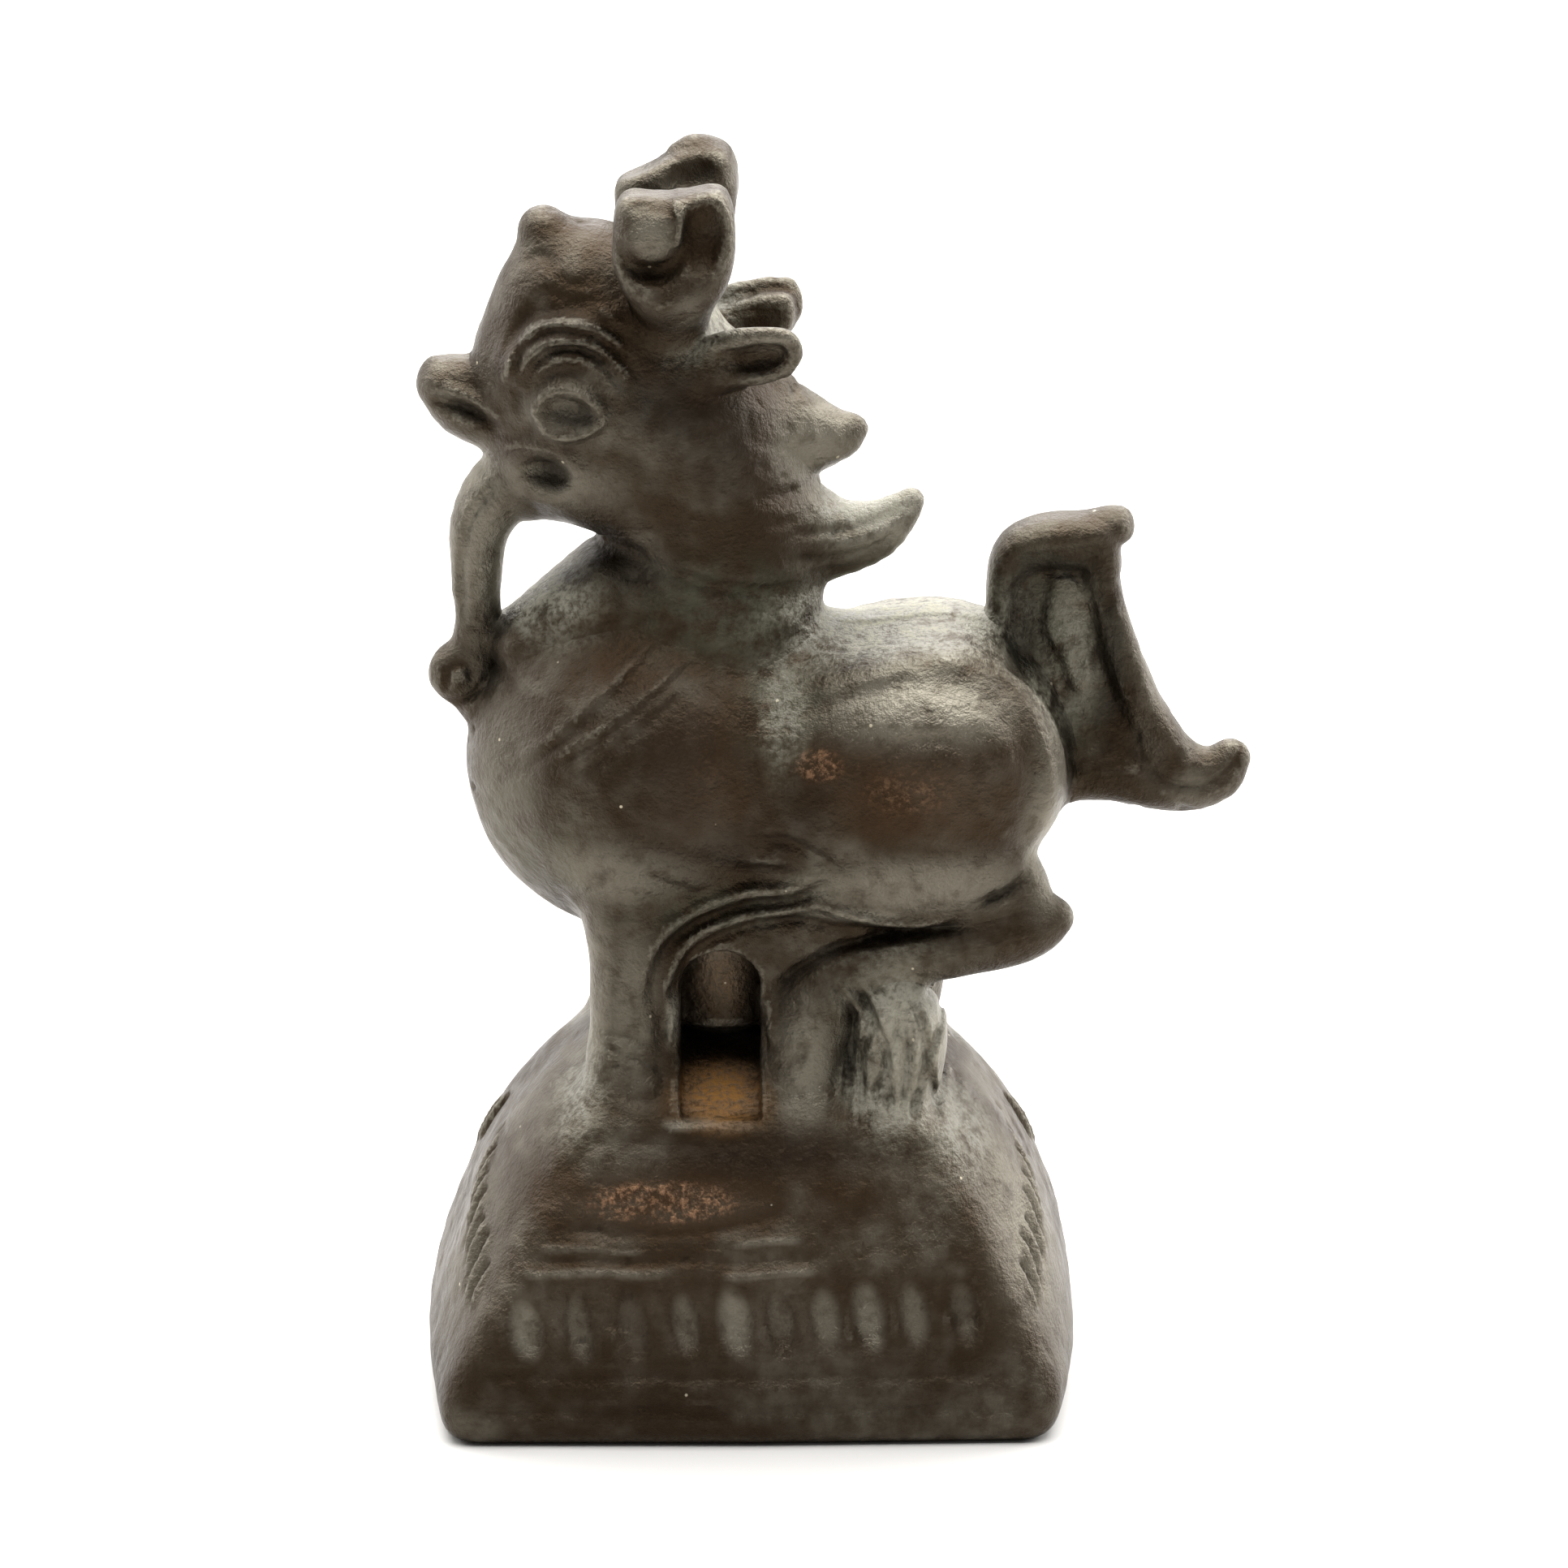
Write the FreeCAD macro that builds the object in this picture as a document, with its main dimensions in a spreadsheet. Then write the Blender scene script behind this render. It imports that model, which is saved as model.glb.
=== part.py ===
"""A cast bronze balance weight: a horned beast on an eight-sided pedestal.

The casting keeps the lumps that its wax was put together from: each lump is one sub-part, and it is
seated on the lump that carries it by cutting the carrier's shape out of it, so that the two meet
face to face. The beast faces -X and its left side is -Y. The origin is the middle of the underside.
"""
import FreeCAD, Part
import math
import os

import Sketcher
from FreeCAD import Placement, Rotation, Vector

# Driving sizes in millimetres. Heights of the beast's lumps are counted from the datum that carries
# them: the pedestal's top, the middle of the trunk or the middle of the head.
SIZES = {
    # Pedestal: eight-sided levels. front and side are the lengths of the edges between the cut corners.
    "base_height": 9.3,
    "heel_rise": 0.5, "girth_rise": 1.3, "skin_rise": 3.4, "waist_rise": 5.6, "shoulder_rise": 7.6,
    "foot_width": 18.8, "foot_depth": 15.6, "foot_front": 17.0, "foot_side": 8.4,
    "heel_width": 19.6, "heel_depth": 16.2, "heel_front": 17.9, "heel_side": 8.6,
    "girth_width": 20.0, "girth_depth": 16.4, "girth_front": 18.0, "girth_side": 8.6,
    "skin_width": 19.1, "skin_depth": 15.7, "skin_front": 16.4, "skin_side": 8.2,
    "waist_width": 17.5, "waist_depth": 14.5, "waist_front": 14.2, "waist_side": 7.4,
    "shoulder_width": 15.4, "shoulder_depth": 12.9, "shoulder_front": 12.2, "shoulder_side": 6.6,
    "top_width": 12.8, "top_depth": 11.2, "top_front": 10.1, "top_side": 6.0,
    # Row of stamped ovals along each long face
    "stamp_width": 0.8, "stamp_length": 1.8, "stamp_depth": 0.2,
    "stamp_rise": 3.8, "stamp_row": 13.0, "stamp_count": 10,
    # Two lines scored along each long face, and slanted strokes in rows on each side face
    "foot_line_rise": 2.0, "foot_line_length": 17.0, "brow_line_rise": 6.3, "brow_line_length": 8.0,
    "line_radius": 0.3, "line_depth": 0.15,
    "stroke_length": 2.4, "stroke_width": 0.4, "stroke_depth": 0.25, "stroke_rise": 2.7, "stroke_gap": 1.2,
    "stroke_reach": 2.9, "stroke_count": 4,
    # Block under the belly, with a blind niche in each side
    "block_length": 8.4, "block_width": 5.8, "block_height": 7.2,
    "skirt_length": 11.4, "skirt_width": 8.6, "skirt_rise": 2.2,
    "niche_width": 2.4, "niche_height": 4.6, "niche_shift": -1.0, "core_wall": 1.0,
    # Datums of the trunk and of the head
    "trunk_rise": 9.9, "head_reach": -4.2, "head_rise": 11.4,
}

# Egg-shaped lumps: datum, middle (x, y, z), half sizes (x, y, z)
EGGS = {
    "thigh": ("trunk", (5.3, -2.9, 0.1), (4.45, 2.1, 3.9)),
    "skull": ("head", (0.0, 0.0, 0.0), (4.1, 3.1, 4.5)),
    "forehead": ("head", (-0.8, 0.0, 3.0), (2.6, 2.2, 2.2)),
    "jaw": ("head", (-0.4, 0.0, -2.6), (3.2, 2.6, 1.7)),
    "snout": ("head", (-4.5, 0.0, -0.35), (1.3, 1.35, 1.45)),
    "knob": ("head", (-1.9, 0.0, 4.7), (0.8, 0.8, 0.85)),
    "eye": ("head", (-1.1, -2.75, 0.1), (1.15, 0.6, 1.0)),
    "horn_cup": ("head", (2.2, -2.6, 4.9), (1.85, 1.0, 2.3)),
    "horn_hollow": ("head", (2.35, -3.65, 4.9), (1.15, 0.75, 1.55)),
    "pearl": ("head", (2.0, -3.1, 4.9), (0.7, 0.65, 0.75)),
    "ear_hollow": ("head", (4.5, -3.45, 1.6), (1.1, 0.4, 0.6)),
}

# Tapering limbs. Each station: datum, middle (x, y, z), half thickness in the XZ plane, half width
# along Y, and the lean of its section: 0 faces up, 90 faces +X, -90 faces -X, -180 faces down.
LIMBS = {
    "trunk": [
        ("breast", "trunk", (-8.55, 0.0, 0.0), 0.5, 0.45, 90),
        ("prow", "trunk", (-8.25, 0.0, 0.0), 1.8, 1.55, 90),
        ("bosom", "trunk", (-7.2, 0.0, 0.0), 3.5, 3.0, 90),
        ("bulge", "trunk", (-5.4, 0.0, 0.0), 4.9, 4.15, 90),
        ("chest", "trunk", (-3.2, 0.0, 0.0), 5.35, 4.6, 90),
        ("girth", "trunk", (-0.6, 0.0, 0.1), 4.65, 4.2, 90),
        ("loin", "trunk", (2.0, 0.0, 0.5), 4.1, 3.8, 90),
        ("hips", "trunk", (5.0, 0.0, 0.6), 4.1, 3.9, 90),
        ("rump", "trunk", (7.6, 0.0, 0.4), 3.5, 3.3, 90),
        ("buttock", "trunk", (9.3, 0.0, 0.2), 2.1, 1.9, 90),
        ("dock", "trunk", (9.9, 0.0, 0.2), 0.7, 0.6, 90),
    ],
    "neck": [
        ("root", "trunk", (-2.0, 0.0, 2.4), 4.1, 3.5, 0),
        ("collar", "trunk", (-1.3, 0.0, 5.4), 3.5, 3.05, 0),
        ("nape", "head", (2.7, 0.0, -4.1), 3.3, 2.95, 0),
        ("crest", "head", (2.75, 0.0, -2.1), 2.9, 2.8, 0),
        ("poll", "head", (2.4, 0.0, -0.1), 2.4, 2.5, 0),
        ("crown", "head", (1.6, 0.0, 1.5), 1.3, 1.6, 0),
    ],
    "chest_slope": [
        ("low", "trunk", (-6.6, 0.0, 3.1), 0.9, 1.6, 60),
        ("middle", "trunk", (-5.3, 0.0, 4.3), 1.2, 2.2, 60),
        ("high", "trunk", (-3.9, 0.0, 5.3), 1.5, 2.5, 60),
        ("end", "trunk", (-2.4, 0.0, 6.2), 1.2, 2.2, 60),
    ],
    "foreleg": [
        ("hip", "trunk", (-3.5, -2.2, -1.4), 2.1, 1.7, -180),
        ("elbow", "trunk", (-3.5, -3.0, -4.3), 1.75, 1.5, -180),
        ("ankle", "base", (-3.65, -3.4, 2.9), 1.1, 1.1, -180),
        ("instep", "base", (-3.6, -3.6, 1.3), 1.2, 1.2, -180),
        ("paw", "base", (-3.55, -3.7, 0.0), 1.4, 1.35, -180),
    ],
    "hindleg": [
        ("spur", "base", (9.65, -2.9, 5.6), 0.35, 0.35, -90),
        ("hock", "base", (9.0, -2.95, 5.45), 1.0, 0.95, -90),
        ("calf", "base", (7.6, -3.0, 5.3), 1.4, 1.3, -92),
        ("shank", "base", (5.9, -3.05, 5.0), 1.3, 1.25, -97),
        ("bend", "base", (4.0, -3.15, 4.5), 1.2, 1.3, -104),
        ("fetlock", "base", (2.45, -3.35, 3.3), 1.1, 1.2, -140),
        ("pastern", "base", (1.95, -3.5, 1.8), 1.1, 1.15, -178),
        ("paw", "base", (1.9, -3.6, 0.0), 1.3, 1.3, -180),
    ],
    "tuft": [
        ("foot", "base", (4.4, -3.4, 0.0), 1.2, 1.2, 0),
        ("belly", "base", (4.4, -3.4, 1.2), 1.4, 1.4, 0),
        ("neck", "base", (4.3, -3.3, 2.6), 1.1, 1.2, 0),
        ("crown", "base", (4.2, -3.2, 3.5), 0.5, 0.6, 0),
    ],
    "beard": [
        ("root", "head", (-2.3, 0.0, -2.3), 1.2, 1.3, -135),
        ("chin", "head", (-3.5, 0.0, -3.6), 1.0, 1.1, -150),
        ("strap", "head", (-4.15, 0.0, -5.2), 0.75, 0.9, -168),
        ("tie", "trunk", (-8.5, 0.0, 4.6), 0.6, 0.8, -178),
        ("wrist", "trunk", (-8.65, 0.0, 3.5), 0.55, 0.65, -178),
        ("curl", "trunk", (-8.9, 0.0, 2.6), 0.95, 0.85, -172),
        ("end", "trunk", (-9.05, 0.0, 1.8), 0.45, 0.4, -168),
    ],
    "horn": [
        ("root", "head", (1.9, -1.9, 2.0), 0.8, 0.75, 0),
        ("stem", "head", (1.95, -2.25, 3.2), 1.2, 0.85, 0),
        ("cup", "head", (2.0, -2.6, 4.8), 1.2, 0.8, 0),
    ],
    "ear": [
        ("root", "head", (1.9, -1.8, 1.3), 0.7, 0.5, 90),
        ("middle", "head", (4.0, -2.75, 1.5), 1.0, 0.55, 90),
        ("flare", "head", (5.1, -2.8, 1.65), 1.05, 0.5, 90),
        ("tip", "head", (5.75, -2.7, 1.8), 0.5, 0.3, 90),
    ],
    "mane_upper": [
        ("root", "head", (3.2, 0.0, -0.9), 2.3, 2.1, 90),
        ("middle", "head", (5.3, 0.0, -1.1), 1.6, 1.5, 90),
        ("neck", "head", (6.5, 0.0, -1.35), 0.85, 0.8, 90),
        ("tip", "head", (7.45, 0.0, -1.2), 0.42, 0.42, 80),
    ],
    "mane_lower": [
        ("root", "head", (4.0, 0.0, -4.3), 2.1, 2.2, 90),
        ("middle", "head", (6.1, 0.0, -4.4), 1.6, 1.7, 90),
        ("bend", "head", (7.4, 0.0, -4.5), 1.05, 1.0, 75),
        ("flick", "head", (8.55, 0.0, -3.85), 0.75, 0.75, 55),
        ("tip", "head", (9.1, 0.0, -3.3), 0.35, 0.4, 45),
    ],
    "tail_blade": [
        ("foot", "trunk", (11.1, 0.0, -1.0), 1.6, 0.8, 0),
        ("heel", "trunk", (10.6, 0.0, 0.8), 2.0, 0.9, 0),
        ("middle", "trunk", (9.75, 0.0, 2.8), 1.95, 0.95, 0),
        ("shoulder", "trunk", (9.2, 0.0, 4.8), 1.95, 0.95, 0),
        ("brow", "trunk", (9.15, 0.0, 6.2), 1.8, 0.9, 0),
        ("crown", "trunk", (9.2, 0.0, 7.2), 1.2, 0.6, 0),
    ],
    "tail_hollow": [
        ("foot", "trunk", (10.6, -1.15, -0.2), 0.35, 0.25, 0),
        ("low", "trunk", (10.3, -1.15, 1.2), 1.0, 0.5, 0),
        ("middle", "trunk", (9.6, -1.15, 3.2), 1.25, 0.55, 0),
        ("high", "trunk", (9.1, -1.15, 5.2), 1.05, 0.5, 0),
        ("top", "trunk", (9.0, -1.15, 6.3), 0.35, 0.25, 0),
    ],
    "tail_hook": [
        ("root", "trunk", (10.0, 0.0, -0.5), 1.1, 0.85, 90),
        ("belly", "trunk", (12.9, 0.0, -0.65), 1.15, 0.8, 90),
        ("flick", "trunk", (13.9, 0.0, -0.5), 0.95, 0.75, 72),
        ("curl", "trunk", (14.4, 0.0, -0.1), 0.7, 0.7, 50),
        ("tip", "trunk", (14.75, 0.0, 0.35), 0.3, 0.35, 45),
    ],
    "tail_curl": [
        ("root", "trunk", (9.4, 0.0, 6.6), 0.5, 0.4, 90),
        ("neck", "trunk", (10.4, 0.0, 6.95), 0.5, 0.45, 75),
        ("knob", "trunk", (10.95, 0.0, 7.15), 0.6, 0.55, 75),
        ("tip", "trunk", (11.4, 0.0, 7.3), 0.25, 0.25, 75),
    ],
}


def cell(name):
    """The expression that reads one driving size."""
    return "Sizes." + name


BASE_TOP = cell("base_height")
TRUNK_HEIGHT = BASE_TOP + " + " + cell("trunk_rise")
DATUMS = {
    "base": ("0 mm", BASE_TOP),
    "trunk": ("0 mm", TRUNK_HEIGHT),
    "head": (cell("head_reach"), TRUNK_HEIGHT + " + " + cell("head_rise")),
}
AXES = ("x", "y", "z")
EGG_REACH = (-0.99, -0.92, -0.72, -0.38, 0.0, 0.38, 0.72, 0.92, 0.99)
LEVELS = ("heel", "girth", "skin", "waist", "shoulder")
# Turn of a scored stroke from upright, and the lean of the face that it is scored into, in degrees
STROKE_SLANT, STROKE_LEAN = 51, 20


def all_sizes():
    """Every driving size: the plain ones and those of the eggs and limbs."""
    sizes = dict(SIZES)
    for name, (_, middle, half) in EGGS.items():
        for axis, at, size in zip(AXES, middle, half):
            sizes[name + "_at_" + axis] = at
            sizes[name + "_half_" + axis] = size
    for name, stations in LIMBS.items():
        for station, _, middle, thick, wide, _ in stations:
            key = name + "_" + station
            for axis, at in zip(AXES, middle):
                sizes[key + "_at_" + axis] = at
            sizes[key + "_thick"] = thick
            sizes[key + "_wide"] = wide
    # A lump on the middle plane stays there, so its offset along Y isn't a size.
    return {key: value for key, value in sizes.items() if not (key.endswith("_at_y") and value == 0)}


def fill_sheet(doc, sizes):
    """Writes the driving sizes into a spreadsheet, one alias for each."""
    sheet = doc.addObject("Spreadsheet::Sheet", "Sizes")
    for row, (alias, value) in enumerate(sizes.items(), start=1):
        sheet.set("A%d" % row, alias.replace("_", " "))
        sheet.set("B%d" % row, str(value))
        sheet.setAlias("B%d" % row, alias)
    doc.recompute()
    return sheet


def place(obj, datum, key, sizes, shift=None):
    """Binds an object's place to its datum and to its own offsets, with a further shift along X."""
    datum_x, datum_z = DATUMS[datum]
    at_x = cell(key + "_at_x") + (" + " + shift if shift else "")
    obj.setExpression("Placement.Base.x", "(%s + (%s) * 1 mm)" % (length(datum_x), at_x))
    obj.setExpression("Placement.Base.z", "(%s + %s * 1 mm)" % (length(datum_z), cell(key + "_at_z")))
    if key + "_at_y" in sizes:
        obj.setExpression("Placement.Base.y", cell(key + "_at_y") + " * 1 mm")


def length(text):
    """A datum's expression as a length."""
    return text if text.endswith("mm") else "(%s) * 1 mm" % text


def section(doc, name, datum, key, sizes, turn, half_across, half_along, shift=None):
    """An elliptical section whose half sizes are expressions, the larger one named first."""
    ellipse = doc.addObject("Part::Ellipse", name)
    ellipse.Placement = Placement(Vector(), turn)
    ellipse.setExpression("MajorRadius", "max(%s; %s) * 1 mm" % (half_across, half_along))
    ellipse.setExpression("MinorRadius", "%s * 1 mm" % half_along)
    place(ellipse, datum, key, sizes, shift)
    return ellipse


def loft(doc, name, sections):
    """A smooth solid through its sections."""
    lump = doc.addObject("Part::Loft", name + "_wax")
    lump.Sections = sections
    lump.Solid = True
    lump.Ruled = False
    return lump


def egg(doc, name, sizes):
    """An egg: a loft along X through ellipses that shrink as a circle does towards its ends."""
    datum, _, (_, half_y, half_z) = EGGS[name]
    tall = half_z >= half_y
    major, minor = ("_half_z", "_half_y") if tall else ("_half_y", "_half_z")
    turn = lean_turn(90, not tall)
    sections = []
    for number, reach in enumerate(EGG_REACH):
        share = math.sqrt(1 - reach ** 2)
        across = "%s * %.4f" % (cell(name + major), share)
        along = "%s * %.4f" % (cell(name + minor), share)
        shift = "%s * %.4f" % (cell(name + "_half_x"), reach)
        label_text = "%s_slice_%d" % (name, number)
        sections.append(section(doc, label_text, datum, name, sizes, turn, across, along, shift))
    return loft(doc, name, sections)


def lean_turn(lean, broad):
    """The turn of a section: its first axis in the XZ plane, or along Y when it is broad."""
    turn = Rotation(Vector(0, 1, 0), lean)
    return turn.multiply(Rotation(Vector(0, 0, 1), 90)) if broad else turn


def limb(doc, name, sizes):
    """A loft through elliptical sections that turn with the limb."""
    stations = LIMBS[name]
    broad = sum(wide for _, _, _, _, wide, _ in stations) > sum(thick for _, _, _, thick, _, _ in stations)
    major, minor = ("_wide", "_thick") if broad else ("_thick", "_wide")
    sections = []
    for station, datum, _, _, _, lean in stations:
        key = name + "_" + station
        turn = lean_turn(lean, broad)
        sections.append(section(doc, key, datum, key, sizes, turn, cell(key + major), cell(key + minor)))
    return loft(doc, name, sections)


def combine(doc, kind, name, lump, others):
    """Works the other lumps into the first one at a time, by fusing or by cutting."""
    for number, other in enumerate(others, start=1):
        result = doc.addObject(kind, "%s_%d" % (name, number))
        result.Base = lump
        result.Tool = other
        result.Refine = False
        lump = result
    return lump


def fuse(doc, name, lump, *others):
    """Several lumps worked into one."""
    return combine(doc, "Part::Fuse", name, lump, others)


def cut(doc, name, lump, *carriers):
    """The lump less each carrier in turn, so that it sits on them face to face."""
    return combine(doc, "Part::Cut", name + "_cut", lump, carriers)


def mirror(doc, name, lump, across=Vector(0, 1, 0)):
    """The twin of a lump on the other side of the middle plane, or of another plane through the origin."""
    twin = doc.addObject("Part::Mirroring", name)
    twin.Source = lump
    twin.Normal = across
    return twin


def group(doc, name, *lumps):
    """Several lumps that stay apart, held as one."""
    held = doc.addObject("Part::Compound", name)
    held.Links = lumps
    return held


def pair(doc, nodes, name, lump):
    """A left-hand lump and its right-hand twin, as two sub-parts."""
    label(nodes, name + "_left", lump)
    label(nodes, name + "_right", mirror(doc, name + "_twin", lump))
    return lump


def plane_of(body, role):
    """One of a body's own origin planes or axes."""
    return next(f for f in body.Origin.OriginFeatures if f.Role == role)


def new_sketch(body, name, plane):
    """A sketch on one of the body's origin planes."""
    sketch = body.newObject("Sketcher::SketchObject", name)
    sketch.AttachmentSupport = [(plane_of(body, plane), "")]
    sketch.MapMode = "FlatFace"
    return sketch


def outline(sketch, corners, closed=True):
    """Straight lines through the corners, joined end to end."""
    points = [Vector(x, y, 0) for x, y in corners]
    ends = points[1:] + points[:1] if closed else points[1:]
    for start, end in zip(points, ends):
        sketch.addGeometry(Part.LineSegment(start, end), False)
    lines = len(ends)
    for line in range(lines if closed else lines - 1):
        sketch.addConstraint(Sketcher.Constraint("Coincident", line, 2, (line + 1) % lines, 1))


def dimension(sketch, kind, first, second, size_name, nominal):
    """A driving dimension between two points of a sketch, bound to a size."""
    index = sketch.addConstraint(Sketcher.Constraint(kind, *first, *second, nominal))
    sketch.renameConstraint(index, size_name)
    sketch.setExpression("Constraints." + size_name, cell(size_name) + " * 1 mm")


def octagon(body, level, sizes, rise=None):
    """An eight-sided level of the pedestal: a rectangle with its corners cut."""
    wide, deep = sizes[level + "_width"] / 2, sizes[level + "_depth"] / 2
    front, side = sizes[level + "_front"] / 2, sizes[level + "_side"] / 2
    corners = [
        (front, -deep), (wide, -side), (wide, side), (front, deep),
        (-front, deep), (-wide, side), (-wide, -side), (-front, -deep),
    ]
    sketch = new_sketch(body, level + "_level", "XY_Plane")
    if rise:
        sketch.setExpression("AttachmentOffset.Base.z", cell(rise) + " * 1 mm")
    outline(sketch, corners)
    across, along = -2, -1
    for first, second, axis in ((0, 7, across), (3, 4, across), (1, 6, across), (0, 3, along), (1, 2, along)):
        sketch.addConstraint(Sketcher.Constraint("Symmetric", first, 1, second, 1, axis))
    sketch.addConstraint(Sketcher.Constraint("Symmetric", 5, 1, 6, 1, along))
    dimension(sketch, "DistanceX", (7, 1), (0, 1), level + "_front", 2 * front)
    dimension(sketch, "DistanceY", (1, 1), (2, 1), level + "_side", 2 * side)
    dimension(sketch, "DistanceX", (6, 1), (1, 1), level + "_width", 2 * wide)
    dimension(sketch, "DistanceY", (0, 1), (3, 1), level + "_depth", 2 * deep)
    return sketch


def pedestal(doc, sizes):
    """The eight-sided base, swelling above its foot, with a row of stamped ovals front and back."""
    body = doc.addObject("PartDesign::Body", "pedestal")
    foot = octagon(body, "foot", sizes)
    levels = [octagon(body, level, sizes, level + "_rise") for level in LEVELS]
    levels.append(octagon(body, "top", sizes, "base_height"))
    loft = body.newObject("PartDesign::AdditiveLoft", "pedestal_loft")
    loft.Profile = foot
    loft.Sections = levels
    loft.Ruled = True
    body.Tip = loft
    stamp_row(body, "front", "-")
    stamp_row(body, "back", "")
    lines = [face_line(doc, name) for name in ("foot_line", "brow_line")]
    strokes = [stroke(doc, number) for number in range(sizes["stroke_count"])]
    near = group(doc, "strokes_near", *strokes)
    near_and_far = group(doc, "strokes_both", near, mirror(doc, "strokes_far", near))
    ends = group(doc, "strokes_all", near_and_far, mirror(doc, "strokes_behind", near_and_far, Vector(1, 0, 0)))
    faces = group(doc, "lines_near", *lines)
    return cut(doc, "pedestal", body, faces, mirror(doc, "lines_far", faces), ends)


def face_at(kind, rise):
    """The expression for the pedestal's width or depth at a height in its middle part."""
    low, high = cell("skin_" + kind), cell("waist_" + kind)
    share = "(%s - %s) / (%s - %s)" % (rise, cell("skin_rise"), cell("waist_rise"), cell("skin_rise"))
    return "(%s + (%s - %s) * %s)" % (low, high, low, share)


def face_line(doc, name):
    """A round bar that scores one line along a long face."""
    bar = doc.addObject("Part::Cylinder", name)
    bar.Placement = Placement(Vector(), Rotation(Vector(0, 1, 0), 90))
    bar.setExpression("Radius", cell("line_radius") + " * 1 mm")
    bar.setExpression("Height", cell(name + "_length") + " * 1 mm")
    rise = cell(name + "_rise")
    out = "(%s / 2 + %s - %s)" % (face_at("depth", rise), cell("line_radius"), cell("line_depth"))
    bar.setExpression("Placement.Base.x", "-%s / 2 * 1 mm" % cell(name + "_length"))
    bar.setExpression("Placement.Base.y", "-%s * 1 mm" % out)
    bar.setExpression("Placement.Base.z", rise + " * 1 mm")
    return bar


def stroke(doc, number):
    """A slim round bar that scores one slanted stroke into the left half of the front side face."""
    mark = doc.addObject("Part::Cylinder", "stroke_%d" % number)
    lean = Rotation(Vector(0, 1, 0), STROKE_LEAN)
    turn = lean.multiply(Rotation(Vector(1, 0, 0), STROKE_SLANT))
    mark.Placement = Placement(Vector(), turn)
    up = turn.multVec(Vector(0, 0, 1))
    mark.setExpression("Radius", cell("stroke_width") + " / 2 * 1 mm")
    mark.setExpression("Height", cell("stroke_length") + " * 1 mm")
    rise = "(%s + %d * %s)" % (cell("stroke_rise"), number, cell("stroke_gap"))
    half = cell("stroke_length") + " / 2"
    out = "%s / 2 + %s / 2 - %s" % (face_at("width", rise), cell("stroke_width"), cell("stroke_depth"))
    mark.setExpression("Placement.Base.x", "-(%s + (%.4f) * %s) * 1 mm" % (out, up.x, half))
    mark.setExpression("Placement.Base.y", "-(%s + (%.4f) * %s) * 1 mm" % (cell("stroke_reach"), up.y, half))
    mark.setExpression("Placement.Base.z", "(%s - (%.4f) * %s) * 1 mm" % (rise, up.z, half))
    return mark


def stamp_row(body, side, sign):
    """A row of oval stamps pressed into one long face of the pedestal."""
    stamp = body.newObject("PartDesign::SubtractiveEllipsoid", side + "_stamp")
    stamp.AttachmentSupport = [(plane_of(body, "XY_Plane"), "")]
    stamp.MapMode = "FlatFace"
    stamp.setExpression("Radius1", cell("stamp_length") + " / 2 * 1 mm")
    stamp.setExpression("Radius2", cell("stamp_width") + " / 2 * 1 mm")
    stamp.setExpression("Radius3", cell("stamp_depth") + " * 1 mm")
    stamp.setExpression("AttachmentOffset.Base.x", "-" + cell("stamp_row") + " / 2 * 1 mm")
    stamp.setExpression("AttachmentOffset.Base.y", "%s%s / 2 * 1 mm" % (sign, face_at("depth", cell("stamp_rise"))))
    stamp.setExpression("AttachmentOffset.Base.z", cell("stamp_rise") + " * 1 mm")
    body.Tip = stamp
    row = body.newObject("PartDesign::LinearPattern", side + "_row")
    row.Originals = [stamp]
    row.Direction = (plane_of(body, "X_Axis"), [""])
    row.setExpression("Length", cell("stamp_row") + " * 1 mm")
    row.setExpression("Occurrences", cell("stamp_count"))
    body.Tip = row


def belly_block(doc, sizes):
    """The block under the belly, with a blind arched niche in each side."""
    body = doc.addObject("PartDesign::Body", "block_body")
    waist = oblong(body, "block", sizes, "%s + %s" % (cell("base_height"), cell("skirt_rise")))
    skirt = body.newObject("PartDesign::AdditiveLoft", "skirt_loft")
    skirt.Profile = oblong(body, "skirt", sizes, cell("base_height"))
    skirt.Sections = [waist]
    body.Tip = skirt
    pad = body.newObject("PartDesign::Pad", "block_pad")
    pad.Profile = waist
    pad.setExpression("Length", "(%s - %s) * 1 mm" % (cell("block_height"), cell("skirt_rise")))
    body.Tip = pad
    pocket = body.newObject("PartDesign::Pocket", "niche")
    pocket.Profile = niche_arch(body, sizes)
    pocket.Type = "ThroughAll"
    pocket.Reversed = True
    body.Tip = pocket
    twin = body.newObject("PartDesign::Mirrored", "niche_twin")
    twin.Originals = [pocket]
    twin.MirrorPlane = (plane_of(body, "XZ_Plane"), [""])
    body.Tip = twin
    return body


def oblong(body, key, sizes, rise):
    """A rectangle about the Z axis at its own height."""
    plan = new_sketch(body, key + "_plan", "XY_Plane")
    plan.setExpression("AttachmentOffset.Base.z", "(%s) * 1 mm" % rise)
    along, across = sizes[key + "_length"] / 2, sizes[key + "_width"] / 2
    outline(plan, [(-along, -across), (along, -across), (along, across), (-along, across)])
    for line, direction in enumerate(("Horizontal", "Vertical") * 2):
        plan.addConstraint(Sketcher.Constraint(direction, line))
    plan.addConstraint(Sketcher.Constraint("Symmetric", 0, 1, 2, 1, -1, 1))
    dimension(plan, "DistanceX", (0, 1), (0, 2), key + "_length", 2 * along)
    dimension(plan, "DistanceY", (1, 1), (1, 2), key + "_width", 2 * across)
    return plan


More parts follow.
